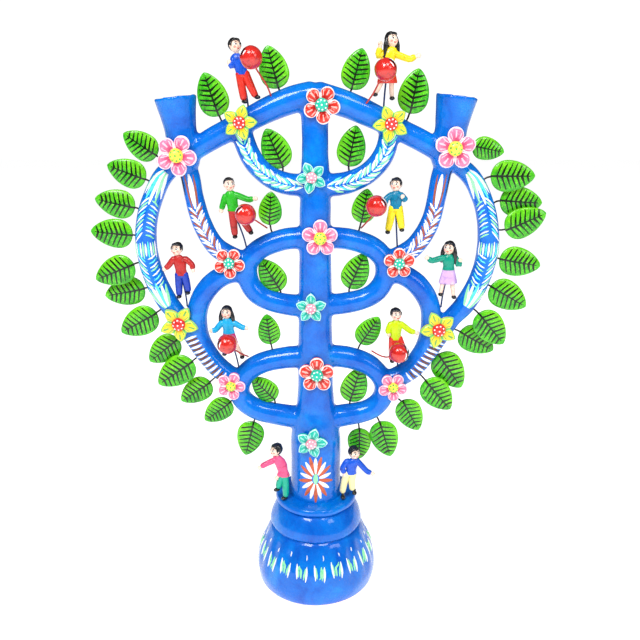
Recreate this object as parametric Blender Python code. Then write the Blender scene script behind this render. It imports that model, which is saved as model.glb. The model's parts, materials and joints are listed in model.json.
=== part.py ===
"""Tree of life: a hand-built clay candelabra.

A hollow bell-shaped foot carries a tapering trunk.  Clay coils curl out of the trunk on both sides: a
crown arch with a hanging coil, a middle loop, a lower loop, an inner arm and a long outer arm, and two
candle cups stand where the arms meet.  Flowers are luted to the coils; leaves, dolls and balls stand on
springy wires.

Frame: metres, +Z up, +X to the right when the tree is seen from its front, which faces -Y.  The origin is
the centre of the foot's underside.
"""

import math

import bmesh
import bpy
from mathutils import Vector
from mathutils.geometry import interpolate_bezier

MM = 0.001

# ---------------------------------------------------------------- driving sizes
TREE_HEIGHT = 470 * MM  # foot to the top of the trunk's knob
TREE_SPAN = 300 * MM  # across the widest part of the two outer arms, centre to centre
FOOT_RADIUS = 59 * MM
FOOT_HEIGHT = 92 * MM
FOOT_WALL = 8 * MM
TRUNK_RADIUS = 24 * MM  # just above the foot
TRUNK_TOP_RADIUS = 11 * MM
COIL_RADIUS = 9.5 * MM
CUP_RIM_RADIUS = 17.3 * MM
CUP_LENGTH = 56 * MM
SOCKET_RADIUS = 11.2 * MM  # takes a 22 mm taper candle
SOCKET_DEPTH = 20 * MM
WIRE_RADIUS = 0.75 * MM
WIRE_LEAD = 2 * MM  # a long wire stands square to the clay for this far
LEAF_LENGTH = 38 * MM
LEAF_WIDTH = 26 * MM
LEAF_THICKNESS = 4.6 * MM
# A blade's sections as (share of its length, of its width, of its thickness).
LEAF_SHAPE = [
    (0, 0.1, 0.35), (0.1, 0.62, 0.75), (0.36, 1, 1), (0.68, 0.72, 0.85), (0.9, 0.32, 0.5), (1, 0.08, 0.15),
]
BALL_RADIUS = 9 * MM
DOLL_SCALE = 1.0
FLOWER_THICKNESS = 3.2 * MM
FLOWER_BOSS_RADIUS = 2.8 * MM
FLOWER_TURN = 0.12
SEAT_GAP = 0.35 * MM  # luted joints and wire ends stand this far off their seats

TRUNK_SIDES = 14
COIL_SIDES = 10
FOOT_SIDES = 24
CUP_SIDES = 16

# The tree is drawn on a sheet 470 high and 300 across; at() takes a point of that sheet to its real place.
SHEET_HEIGHT = 470
SHEET_SPAN = 300
SHEET_FOOT = 92

# Coils as (x, z, thickness), drawn from the joint nearest the trunk or the cup; thickness 1 is COIL_RADIUS.
ARCH = {
    -1: [(-2, 461, 1.18), (-20, 456.5, 1.18), (-42, 448, 1.1), (-64, 437, 1.0), (-90, 424, 0.98),
         (-109, 412, 0.95)],
    1: [(2, 461, 1.18), (20, 455.5, 1.18), (42, 447, 1.1), (64, 436.5, 1.0), (90, 424, 0.98),
        (110, 413, 0.95)],
}
HANGING = {
    -1: [(-2, 387, 1.02), (-26, 389, 1.02), (-45, 399, 0.98), (-57, 416, 0.95), (-63, 437, 0.9)],
    1: [(2, 387, 1.02), (26, 389, 1.02), (46, 398, 0.98), (59, 415, 0.95), (63, 436, 0.9)],
}
MIDDLE = {
    -1: [(-2, 342, 1.05), (-26, 340.5, 1.02), (-47, 333, 1.0), (-58.5, 322, 1.0), (-61, 310, 1.0),
         (-57, 297, 1.0), (-46, 287, 1.0), (-26, 281, 1.02), (-2, 279, 1.05)],
    1: [(2, 342, 1.05), (26, 341, 1.02), (47, 335, 1.0), (59.5, 324, 1.0), (62.5, 311, 1.0),
        (58.5, 298, 1.0), (47, 288, 1.0), (26, 282, 1.02), (2, 280, 1.05)],
}
LOWER = {
    -1: [(-2, 231, 1.1), (-26, 230, 1.08), (-49, 225, 1.05), (-65, 214, 1.0), (-71.5, 199, 1.0),
         (-67, 186, 1.02), (-53, 177, 1.08), (-30, 172, 1.12), (-2, 168, 1.15)],
    1: [(2, 232, 1.1), (26, 231, 1.08), (46, 225, 1.05), (59, 214, 1.0), (64.5, 201, 1.0), (61, 187, 1.02),
        (49, 177, 1.08), (28, 172, 1.12), (2, 168, 1.15)],
}
INNER = {
    -1: [(-110, 411, 0.8), (-107, 395, 0.88), (-104, 375, 0.87), (-100, 358, 0.88), (-93, 342, 0.92),
         (-83, 330, 0.95), (-62, 320, 0.9)],
    1: [(111, 412, 0.8), (107.5, 395, 0.88), (104.5, 375, 0.87), (101, 358, 0.88), (94, 343, 0.92),
        (84, 331, 0.95), (63, 320, 0.9)],
}
OUTER = {
    -1: [(-113, 409, 0.8), (-129, 396, 0.85), (-138.5, 380, 0.9), (-145.5, 362, 0.97), (-148.5, 342, 1.0),
         (-147, 320, 1.0), (-141.5, 300, 1.0), (-132.5, 282, 1.0), (-122, 267, 0.92), (-113, 249, 0.72),
         (-103.5, 232, 0.68), (-92, 217, 0.66), (-78, 206, 0.6)],
    1: [(114, 410, 0.8), (132, 396, 0.85), (142, 380, 0.9), (149, 361, 0.97), (152, 340, 1.0),
        (150, 318, 1.0), (144, 298, 1.0), (134, 280, 1.0), (122, 266, 0.92), (112.5, 247, 0.72),
        (103.5, 231, 0.68), (92, 216, 0.66), (76, 205, 0.6)],
}
MIDDLE_ARM = {
    -1: [(-61, 309, 0.8), (-75, 309.5, 0.95), (-88, 304, 1.0), (-99, 293, 1.0), (-106, 279, 1.0),
         (-108, 263, 1.0), (-105.5, 247, 1.0), (-97, 230, 1.0), (-85, 216, 1.0), (-70, 207, 0.85)],
    1: [(62, 309, 0.8), (75, 309, 0.95), (87, 303, 1.0), (97, 292, 1.0), (103.5, 279, 1.0),
        (105.5, 263, 1.0), (103.5, 247, 1.0), (96, 230, 1.0), (84, 216, 1.0), (65, 207, 0.85)],
}
# Each coil's facets start at their own angle, so that no two coils share an edge line where they cross.
FACET_TURN = {
    "arch": 0.13, "hanging": 0.33, "middle": 0.21, "lower": 0.29, "inner": 0.05, "outer": 0.41, "arm": 0.19,
    "trunk": 0.09, "candle_cup": 0.07,
}
CUP_AXIS = {-1: ((-109.5, 404), (-115.8, 459)), 1: ((110.5, 405), (117.4, 460))}

# Flowers as (host, x, z, radius, colour).
FLOWERS = [
    ("trunk", 5.5, 453, 13.8, "red"),
    ("trunk", -3, 395, 11.7, "turquoise"),
    ("trunk", 4.3, 344, 14.6, "pink"),
    ("trunk", -4, 282, 12.4, "turquoise"),
    ("trunk", 1.2, 220, 16, "red"),
    ("trunk", -4, 155, 13.6, "turquoise"),
    ("crown_branch_left", -62, 439, 12.7, "yellow"),
    ("crown_branch_right", 62.5, 438, 12.7, "yellow"),
    ("candle_cup_left", -114.7, 413, 15.8, "pink"),
    ("candle_cup_right", 115.4, 418.6, 16, "pink"),
    ("inner_arm_left", -75.2, 321.2, 13, "red"),
    ("inner_arm_right", 73.1, 321, 13, "red"),
    ("outer_arm_left", -121.8, 265.2, 16, "yellow"),
    ("outer_arm_right", 110.6, 260.3, 16, "yellow"),
    ("lower_loop_left", -77.9, 205.7, 11.9, "pink"),
    ("lower_loop_right", 71.5, 204.4, 12.8, "pink"),
]

# Leaves on their own wires as (x, z of the blade's base, bearing in degrees, size, depth of its plane).
LEAVES = {
    "leaf_crown_1": (-80, 444, 108, 0.95, 0),
    "leaf_crown_2": (-30, 466, 105, 0.9, 0),
    "leaf_crown_3": (30, 465, 75, 0.87, 0),
    "leaf_crown_4": (79, 446, 80, 0.95, 0),
    "leaf_left_1": (-134, 412, 146, 0.86, 0),
    "leaf_left_2": (-145, 392, 159, 0.9, 0),
    "leaf_left_3": (-156, 368, 167, 0.92, 0),
    "leaf_left_4": (-160, 344, 174, 0.96, 0),
    "leaf_left_5": (-160, 319, 202, 0.98, -4),
    "leaf_left_6": (-154, 295, 191, 0.97, 4),
    "leaf_left_7": (-144, 273, 209, 1.0, 0),
    "leaf_left_8": (-127, 247, 219, 0.93, 4),
    "leaf_left_9": (-113, 228, 215, 1.05, -4),
    "leaf_left_10": (-99, 204, 214, 0.9, 4),
    "leaf_left_11": (-80, 186, 218, 0.84, 0),
    "leaf_left_12": (-59, 165, 256, 0.95, 0),
    "leaf_right_1": (133, 420, -11, 0.72, 0),
    "leaf_right_2": (150, 395, 0, 1.0, 0),
    "leaf_right_3": (160.5, 374, -4, 0.97, 4),
    "leaf_right_4": (165, 349, 24, 0.98, -4),
    "leaf_right_5": (163, 323, -10, 0.98, 0),
    "leaf_right_6": (157, 298, -30, 1.0, 0),
    "leaf_right_7": (147, 274, -50, 1.0, -4),
    "leaf_right_8": (133, 254, -30, 0.96, 4),
    "leaf_right_9": (114, 232, -55, 1.07, 4),
    "leaf_right_10": (102, 209, -50, 1.0, -4),
    "leaf_right_11": (82, 187, -62, 0.91, 0),
    "leaf_right_12": (61, 165, -73, 1.0, 0),
    "leaf_right_13": (42, 156, -89, 0.85, 4),
}

# Leaves inside the loops, joined to the coil that carries them: (host, x, z, bearing, size, depth).
INNER_LEAVES = [
    ("crown_branch_left", -27, 402, 114, 0.92, 0),
    ("crown_branch_right", 28, 403, 79, 0.9, 0),
    ("middle_loop_left", -40, 353, 86, 0.76, 0),
    ("middle_loop_right", 40, 355, 80, 0.78, 0),
    ("middle_loop_left", -31, 294, 121, 0.87, 0),
    ("middle_loop_right", 30, 296, 67, 0.9, 0),
    ("lower_loop_left", -41, 243, 97, 0.76, 0),
    ("lower_loop_right", 46, 246, 80, 0.65, 0),
    ("lower_loop_left", -38, 188, 133, 0.79, 0),
    ("lower_loop_right", 32, 186, 74, 0.93, 0),
]

# Balls as (centre x, z, foot of the wire x, z).
BALLS = {
    "ball_1": (-50.2, 488.6, -34.6, 448),
    "ball_2": (56.1, 479.8, 35.7, 451),
    "ball_3": (-58.5, 365, -29.6, 344),
    "ball_4": (51.4, 371.9, 35.2, 345),
    "ball_5": (-78.5, 249.8, -42.5, 232),
    "ball_6": (74.6, 241.5, 42.3, 235),
}
BALL_DEPTH = -19.5

# Dolls, drawn as (x, z) points in the sheet's millimetres around their own wire's foot.  "hips" is the top
# of the trousers or skirt; "arms" run shoulder, elbow, hand and "legs" run hip, ankle, shoe.
DOLLS = {
    "doll_1_boy": dict(
        foot=(-55.3, 453.1), depth=-2, head=(-64.5, 498.5), neck=(-63.5, 492), chest=(-62.5, 487),
        hips=(-59.5, 477),
        arms=[[(-66, 489), (-67, 483), (-69.5, 486)], [(-59, 489), (-55, 485), (-54, 488)]],
        legs=[[(-61.5, 476), (-59.3, 460), (-58.7, 456)],
              [(-57, 476), (-50.5, 462), (-48.3, 459.5)]],
        wire=(-56.5, 470)),
    "doll_2_girl": dict(
        foot=(56.8, 451.5), depth=-2, head=(62.3, 503), neck=(62, 497), chest=(60.5, 491),
        hips=(59, 483), skirt=470,
        arms=[[(56, 493), (51.5, 491), (52.5, 500)], [(66, 492), (76, 488.5), (84, 491)]],
        legs=[[(55, 471), (51.5, 464), (49.5, 461.5)],
              [(63, 471), (62.7, 461), (63.5, 458.5)]],
        wire=(58, 472)),
    "doll_3_boy": dict(
        foot=(-60.4, 335.2), depth=-2, head=(-73.5, 387.5), neck=(-72.5, 382), chest=(-72.5, 376),
        hips=(-70.5, 366),
        arms=[[(-77, 378), (-79.5, 371), (-81, 366)], [(-68, 379), (-58, 375.5), (-51, 376.5)]],
        legs=[[(-72, 366), (-70.5, 347), (-70, 343.5)],
              [(-68, 365), (-58.5, 350), (-56, 347)]],
        wire=(-66.5, 360)),
    "doll_4_boy": dict(
        foot=(72, 334.8), depth=-2, head=(69, 387.5), neck=(69.5, 382), chest=(69.7, 376), hips=(69.5, 368),
        arms=[[(65.5, 379), (61, 376), (60, 371)], [(73.5, 379), (77.5, 375), (74.8, 378)]],
        legs=[[(67, 367), (64, 351), (63, 347.5)],
              [(72, 367), (75, 352.5), (75.3, 349.5)]],
        wire=(69, 360)),
    "doll_5_boy": dict(
        foot=(-115.5, 281.8), depth=-2, head=(-122, 331.5), neck=(-121, 326), chest=(-119.7, 319),
        hips=(-119, 309),
        arms=[[(-125, 323), (-129.6, 317.5), (-133.2, 314.5)],
              [(-114.5, 323), (-109, 318.5), (-108, 313.5)]],
        legs=[[(-121.5, 308), (-122, 293), (-122, 289.5)],
              [(-116.5, 308), (-113.8, 296.5), (-114, 293)]],
        wire=(-117.5, 303)),
    "doll_6_girl": dict(
        foot=(113.1, 281.1), depth=-2, head=(117.5, 332.5), neck=(117.7, 327), chest=(117.8, 321),
        hips=(118, 314), skirt=301,
        arms=[[(112, 324), (103, 322), (97.8, 325)], [(123.5, 324), (126.5, 318), (127.5, 322.5)]],
        legs=[[(113.5, 302), (112.5, 294.5), (112, 291.5)],
              [(122, 302), (122.8, 292), (124, 289)]],
        wire=(117.5, 303)),
    "doll_7_girl": dict(
        foot=(-70.9, 221.9), depth=-2, head=(-80.5, 273.5), neck=(-80, 268), chest=(-79.5, 262),
        hips=(-79, 255), skirt=242,
        arms=[[(-85, 264), (-90.5, 258), (-94.5, 257.5)], [(-74, 264), (-67, 260.5), (-62.5, 260)]],
        legs=[[(-81.5, 243), (-83, 238), (-83.5, 235)],
              [(-73, 243), (-69, 235), (-67.5, 232)]],
        wire=(-76, 244)),
    "doll_8_boy": dict(
        foot=(76.1, 222.7), depth=-2, head=(73, 271.5), neck=(73, 266), chest=(73, 258.5), hips=(73, 249),
        arms=[[(68.5, 263), (66, 258), (66.5, 254)], [(77.5, 263), (86, 257), (92, 255.5)]],
        legs=[[(70.5, 248), (70.3, 231), (70.5, 228)],
              [(76, 248), (81.5, 236), (82.7, 233.2)]],
        wire=(75, 243)),
    "doll_9_boy": dict(
        foot=None, depth=-19, head=(-37.5, 144.5), neck=(-36, 138.5), chest=(-32.5, 130), hips=(-30, 118.5),
        arms=[[(-37, 135), (-47, 131), (-52.8, 128)], [(-30.3, 132), (-31.5, 123.5), (-37, 117)]],
        legs=[[(-32, 117.5), (-35, 108.5), (-36, 104)], [(-29.3, 117.5), (-28, 99), (-29, 95)]], wire=None),
    "doll_10_boy": dict(
        foot=None, depth=-17, head=(36.7, 140.5), neck=(35.5, 134.5), chest=(34, 128), hips=(33.3, 120),
        arms=[[(29.5, 132), (25.5, 126), (27.5, 119)], [(39, 132.5), (48, 123), (54, 120.5)]],
        legs=[[(30, 118.5), (25.5, 104), (26, 95)], [(35.5, 118), (33.5, 106), (37, 99.5)]], wire=None),
}
HEAD_RADIUS = 4.6 * MM
LIMB_RADIUS = 2.1 * MM
LIMB_TURN = 0.35  # turns the limbs' facets away from the body's
SOLE = 1.8 * MM  # from a shoe's middle to its sole

COLOURS = {
    "blue": (0.0, 0.16, 0.86),
    "leaf": (0.12, 0.48, 0.04),
    "ball": (0.75, 0.03, 0.02),
    "shirt": (0.75, 0.1, 0.1),
}


# ---------------------------------------------------------------- helpers
def clear_scene():
    for item in list(bpy.data.objects):
        bpy.data.objects.remove(item, do_unlink=True)


def material(name, colour, roughness=0.25):
    made = bpy.data.materials.new(name)
    made.use_nodes = True
    shader = made.node_tree.nodes["Principled BSDF"]
    shader.inputs["Base Color"].default_value = (*colour, 1.0)
    shader.inputs["Roughness"].default_value = roughness
    shader.inputs["Metallic"].default_value = 0.0
    return made


def at(x, z, y=0.0):
    """The real place of a point of the drawing sheet; the foot keeps its own height."""
    above = (TREE_HEIGHT - FOOT_HEIGHT) / (SHEET_HEIGHT - SHEET_FOOT)
    height = FOOT_HEIGHT + (z - SHEET_FOOT) * above
    return Vector((x * TREE_SPAN / SHEET_SPAN, y * MM, height))


def new_object(name, verts, faces):
    mesh = bpy.data.meshes.new(name)
    mesh.from_pydata([tuple(v) for v in verts], [], faces)
    work = bmesh.new()
    work.from_mesh(mesh)
    bmesh.ops.recalc_face_normals(work, faces=work.faces)
    if work.calc_volume(signed=True) < 0:
        bmesh.ops.reverse_faces(work, faces=work.faces)
    work.to_mesh(mesh)
    work.free()
    made = bpy.data.objects.new(name, mesh)
    bpy.context.scene.collection.objects.link(made)
    return made


def loft(name, rings):
    """A closed body through rings of equally many points, with a flat face over each end."""
    count = len(rings[0])
    verts = [point for ring in rings for point in ring]
    faces = []
    for row in range(len(rings) - 1):
        for k in range(count):
            after = (k + 1) % count
            low, high = row * count, (row + 1) * count
            faces.append((low + k, low + after, high + after, high + k))
    faces.append(tuple(range(count)))
    faces.append(tuple(range((len(rings) - 1) * count, len(rings) * count)))
    return new_object(name, verts, faces)


def ring(centre, across, up, count, turn=0.0):
    """Points round an ellipse whose half axes are the two vectors."""
    points = []
    for k in range(count):
        angle = 2 * math.pi * k / count + turn
        points.append(centre + across * math.cos(angle) + up * math.sin(angle))
    return points


def boolean(target, tool, operation):
    """Cuts the tool away from the target, or joins it on, and removes the tool."""
    step = target.modifiers.new(operation.lower(), "BOOLEAN")
    step.operation = operation
    step.solver = "EXACT"
    step.object = tool
    depsgraph = bpy.context.evaluated_depsgraph_get()
    result = bpy.data.meshes.new_from_object(target.evaluated_get(depsgraph))
    target.modifiers.clear()
    old = target.data
    target.data = result
    bpy.data.meshes.remove(old)
    bpy.data.objects.remove(tool, do_unlink=True)
    return target


def join(target, *parts):
    for part in parts:
        boolean(target, part, "UNION")
    return target


def cut(target, *tools):
    for tool in tools:
        boolean(target, tool, "DIFFERENCE")
    return target


def finish(made, finish_material, origin=None, root=None):
    """Gives a piece its material, smooth shading, its own origin and the tree as its parent."""
    made.data.materials.clear()
    made.data.materials.append(finish_material)
    made.data.shade_smooth()
    made.data.set_sharp_from_angle(angle=math.radians(50))
    if origin is not None:
        for vertex in made.data.vertices:
            vertex.co -= origin
        made.location = origin
    made.parent = root
    return made


# ---------------------------------------------------------------- coils
def course(points, per_span=2):
    """A smooth run through drawn (x, z, thickness) points, as (place, radius) pairs."""
    places = [at(x, z) for x, z, _ in points]
    radii = [COIL_RADIUS * thickness for _, _, thickness in points]
    run = []
    for k in range(len(places) - 1):
        before = places[max(k - 1, 0)]
        after = places[min(k + 2, len(places) - 1)]
        lead = (places[k + 1] - before) / 6
        trail = (after - places[k]) / 6
        handles = (places[k], places[k] + lead, places[k + 1] - trail, places[k + 1])
        spots = interpolate_bezier(*handles, per_span + 1)
        for step in range(per_span):
            share = step / per_span
            run.append((spots[step], radii[k] * (1 - share) + radii[k + 1] * share))
    run.append((places[-1], radii[-1]))
    return run


def coil(name, run, turn, extra=0.0):
    """A round bar along a run in the tree's plane, its ends nipped in; extra fattens it into a cutter."""
    rings = []
    depth = Vector((0, 1, 0))
    for k, (place, radius) in enumerate(run):
        along = (run[min(k + 1, len(run) - 1)][0] - run[max(k - 1, 0)][0]).normalized()
        sideways = along.cross(depth)
        nip = 0.7 if k in (0, len(run) - 1) and extra == 0.0 else 1.0
        reach = radius * nip + extra
        rings.append(ring(place, sideways * reach, depth * reach, COIL_SIDES, turn))
    return loft(name, rings)


def turned(name, profile, foot, axis, sides, turn=0.0):
    """A body turned about a slanted axis, from (radius, height) pairs."""
    axis = axis.normalized()
    depth = Vector((0, 1, 0))
    across = depth.cross(axis).normalized()
    rings = []
    for radius, height in profile:
        rings.append(ring(foot + axis * height, across * radius, depth * radius, sides, turn))
    return loft(name, rings)


def trunk_profile():
    """(radius, height) pairs up the trunk: the foot's flare, the long taper and the knob at the crown."""
    top = TREE_HEIGHT
    taper = TRUNK_RADIUS - TRUNK_TOP_RADIUS

    def level(z):
        return at(0, z).z

    def girth(share):
        return TRUNK_TOP_RADIUS + taper * share

    return [
        (girth(1.12), FOOT_HEIGHT + SEAT_GAP),
        (girth(1.05), level(98)),
        (girth(1.0), level(108)),
        (girth(0.98), level(150)),
        (girth(0.82), level(166)),
        (girth(0.55), level(182)),
        (girth(0.42), level(204)),
        (girth(0.38), level(240)),
        (girth(0.33), level(268)),
        (girth(0.28), level(310)),
        (girth(0.24), level(345)),
        (girth(0.14), level(385)),
        (girth(0.03), level(412)),
        (girth(0.03), level(438)),
        (girth(0.12), level(452)),
        (girth(0.03), top - 4 * MM),
        (TRUNK_TOP_RADIUS * 0.55, top),
    ]


def trunk_body(name, extra=0.0):
    profile = [(radius + extra, height) for radius, height in trunk_profile()]
    return turned(name, profile, Vector((0, 0, 0)), Vector((0, 0, 1)), TRUNK_SIDES, FACET_TURN["trunk"])


def cup_line(side):
    low, high = (at(*point) for point in CUP_AXIS[side])
    return low, (high - low).normalized()


def cup_outline():
    """(radius, height) pairs of the cup's outside along its own axis."""
    rim = CUP_RIM_RADIUS
    return [
        (rim * 0.4, -6 * MM),
        (rim * 0.66, -1 * MM),
        (rim * 0.78, 8 * MM),
        (rim * 0.79, CUP_LENGTH - 26 * MM),
        (rim * 0.86, CUP_LENGTH - 15 * MM),
        (rim * 0.96, CUP_LENGTH - 4 * MM),
        (rim, CUP_LENGTH - 1.5 * MM),
        (rim * 0.965, CUP_LENGTH),
    ]


def cup_body(name, side, extra=0.0):
    foot, axis = cup_line(side)
    outline = []
    for radius, height in cup_outline():
        outline.append((radius + extra, height + math.copysign(extra, height - CUP_LENGTH / 5)))
    return turned(name, outline, foot, axis, CUP_SIDES, FACET_TURN["candle_cup"])


def socket_body(side):
    foot, axis = cup_line(side)
    mouth = SOCKET_RADIUS + 2.6 * MM
    outline = [
        (SOCKET_RADIUS, CUP_LENGTH - SOCKET_DEPTH),
        (SOCKET_RADIUS, CUP_LENGTH - 6 * MM),
        (mouth, CUP_LENGTH),
        (mouth + 1 * MM, CUP_LENGTH + 4 * MM),
    ]
    return turned("socket", outline, foot, axis, CUP_SIDES, FACET_TURN["candle_cup"])


def foot_body():
    """The bell with its two stepped rings, hollow and open below."""
    wide = FOOT_RADIUS
    tall = FOOT_HEIGHT
    outside = [
        (wide * 0.915, 0),
        (wide * 0.965, 2.5 * MM),
        (wide * 0.99, tall * 0.1),
        (wide, tall * 0.2),
        (wide * 0.985, tall * 0.31),
        (wide * 0.925, tall * 0.44),
        (wide * 0.83, tall * 0.57),
        (wide * 0.735, tall * 0.66),
        (wide * 0.765, tall * 0.705),
        (wide * 0.75, tall * 0.77),
        (wide * 0.69, tall * 0.87),
        (wide * 0.625, tall * 0.915),
        (wide * 0.665, tall * 0.95),
        (wide * 0.63, tall * 0.99),
        (wide * 0.58, tall),
    ]
    inside = [
        (wide * 0.915 - FOOT_WALL * 0.6, -2 * MM),
        (wide * 0.99 - FOOT_WALL, tall * 0.12),
        (wide * 0.985 - FOOT_WALL, tall * 0.3),
        (wide * 0.9 - FOOT_WALL, tall * 0.47),
        (wide * 0.7 - FOOT_WALL, tall * 0.66),
        (wide * 0.62 - FOOT_WALL, tall * 0.8),
        (wide * 0.5 - FOOT_WALL, tall * 0.88),
    ]
    up = Vector((0, 0, 1))
    body = turned("foot", outside, Vector((0, 0, 0)), up, FOOT_SIDES)
    return cut(body, turned("hollow", inside, Vector((0, 0, 0)), up, FOOT_SIDES))


# ---------------------------------------------------------------- small pieces
def nearest(runs, place):
    """The spot on the centre line of the coil whose surface is nearest a place, and the radius there."""
    best = None
    for run in runs:
        for (start, first), (end, second) in zip(run, run[1:]):
            span = end - start
            share = min(max((place - start).dot(span) / span.length_squared, 0.0), 1.0)
            spot = start + span * share
            radius = first * (1 - share) + second * share
            away = (place - spot).length - radius
            if best is None or away < best[0]:
                best = (away, spot, radius)
    return best[1], best[2]


def edge_seat(runs, place):
    """Where a wire leaves the outline of the coils nearest a place, and the way it points."""
    spot = Vector((place.x, 0, place.z))
    for _ in range(6):
        centre, radius = nearest(runs, spot)
        out = (spot - centre).normalized()
        spot = centre + out * (radius + SEAT_GAP)
    return spot, out


def front_seat(runs, place):
    """Where a wire leaves the front face of the coil nearest a place, and the way it points."""
    flat = Vector((place.x, 0, place.z))
    centre, radius = nearest(runs, flat)
    reach = radius + SEAT_GAP
    out = flat - centre
    out *= min(1.0, 0.75 * reach / max(out.length, 1e-6))
    out.y = -math.sqrt(reach * reach - out.length_squared)
    return centre + out, out.normalized()


def stem(name, points, radius=WIRE_RADIUS, sides=5):
    rings = []
    for k, point in enumerate(points):
        along = (points[min(k + 1, len(points) - 1)] - points[max(k - 1, 0)]).normalized()
        side = along.orthogonal().normalized()
        rings.append(ring(point, side * radius, along.cross(side) * radius, sides))
    return loft(name, rings)


def leaf(name, foot, base, bearing, size):
    """A puffy ovate blade on a short wire, as one run of four-cornered sections."""
    along = Vector((math.cos(bearing), 0, math.sin(bearing)))
    across = Vector((-along.z, 0, along.x))
    depth = Vector((0, 1, 0))
    lead = (base - foot).normalized()
    lead_across = Vector((-lead.z, 0, lead.x)).normalized()
    rings = [ring(foot, lead_across * WIRE_RADIUS * 1.2, depth * WIRE_RADIUS * 1.2, 4)]
    for share, wide, thick in LEAF_SHAPE:
        centre = base + along * (LEAF_LENGTH * size * share)
        half_width = across * (LEAF_WIDTH * size * wide / 2)
        half_depth = depth * (LEAF_THICKNESS * thick / 2)
        rings.append(ring(centre, half_width, half_depth, 4))
    return loft(name, rings)


def flower(host_runs, x, z, radius):
    """A five-petalled disc with a domed centre, on a short boss that roots it in its host coil."""
    centre = at(x, z)
    spot, host_radius = nearest(host_runs, centre)
    back = -max(host_radius - 0.8 * MM, COIL_RADIUS * 1.18 + 0.6 * MM)
    front = back - FLOWER_THICKNESS
    petals = 5
    east = Vector((1, 0, 0))
    up = Vector((0, 0, 1))

    def outline(middle, depth, reach, notch):
        points = []
        for k in range(2 * petals):
            angle = math.pi * k / petals + math.pi / 2 + FLOWER_TURN
            share = reach if k % 2 == 0 else reach * notch
            petal = east * share * math.cos(angle) + up * share * math.sin(angle)
            points.append(middle + Vector((0, depth, 0)) + petal)
        return points

    reach = radius * MM
    rings = [
        outline(spot, back * 0.4, FLOWER_BOSS_RADIUS, 1.0),
        outline(spot, back + 0.4 * MM, FLOWER_BOSS_RADIUS, 1.0),
        outline(centre, back, reach * 0.9, 0.66),
        outline(centre, front, reach * 0.94, 0.66),
        outline(centre, front, reach * 0.4, 1.0),
        outline(centre, front - 2.2 * MM, reach * 0.24, 1.0),
    ]
    return loft("flower", rings)


def ball(name, centre, foot, out):
    """A ball on a thin wire that rises from the coil's front and curves up to it."""
    below = centre + Vector((0, 0, -BALL_RADIUS * 0.6))
    rise = below - foot
    bend = foot + Vector((rise.x * 0.25, rise.y * 0.75, rise.z * 0.4))
    wire = stem("wire", [foot, foot + out * WIRE_LEAD, bend, below], WIRE_RADIUS * 0.8)
    rings = []
    for k in range(1, 8):
        angle = math.pi * k / 8
        radius = BALL_RADIUS * math.sin(angle)
        level = centre + Vector((0, 0, -BALL_RADIUS * math.cos(angle)))
        rings.append(ring(level, Vector((radius, 0, 0)), Vector((0, radius, 0)), 10))
    body = loft(name, rings)
    return join(body, wire)


def lowest_shoe(plan):
    return min((leg[2] for leg in plan["legs"]), key=lambda point: point[1])


def limb(points, radii, sides=5):
    rings = []
    for k, (point, radius) in enumerate(zip(points, radii)):
        along = (points[min(k + 1, len(points) - 1)] - points[max(k - 1, 0)]).normalized()
        depth = Vector((0, 1, 0))
        side = along.cross(depth).normalized()
        rings.append(ring(point, side * radius, depth * radius, sides, LIMB_TURN))
    return loft("limb", rings)


def oval(centre, wide, deep, count):
    """A level oval ring; wide and deep are in millimetres of an unscaled doll."""
    unit = MM * DOLL_SCALE
    return ring(centre, Vector((wide * unit, 0, 0)), Vector((0, deep * unit, 0)), count)


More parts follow.
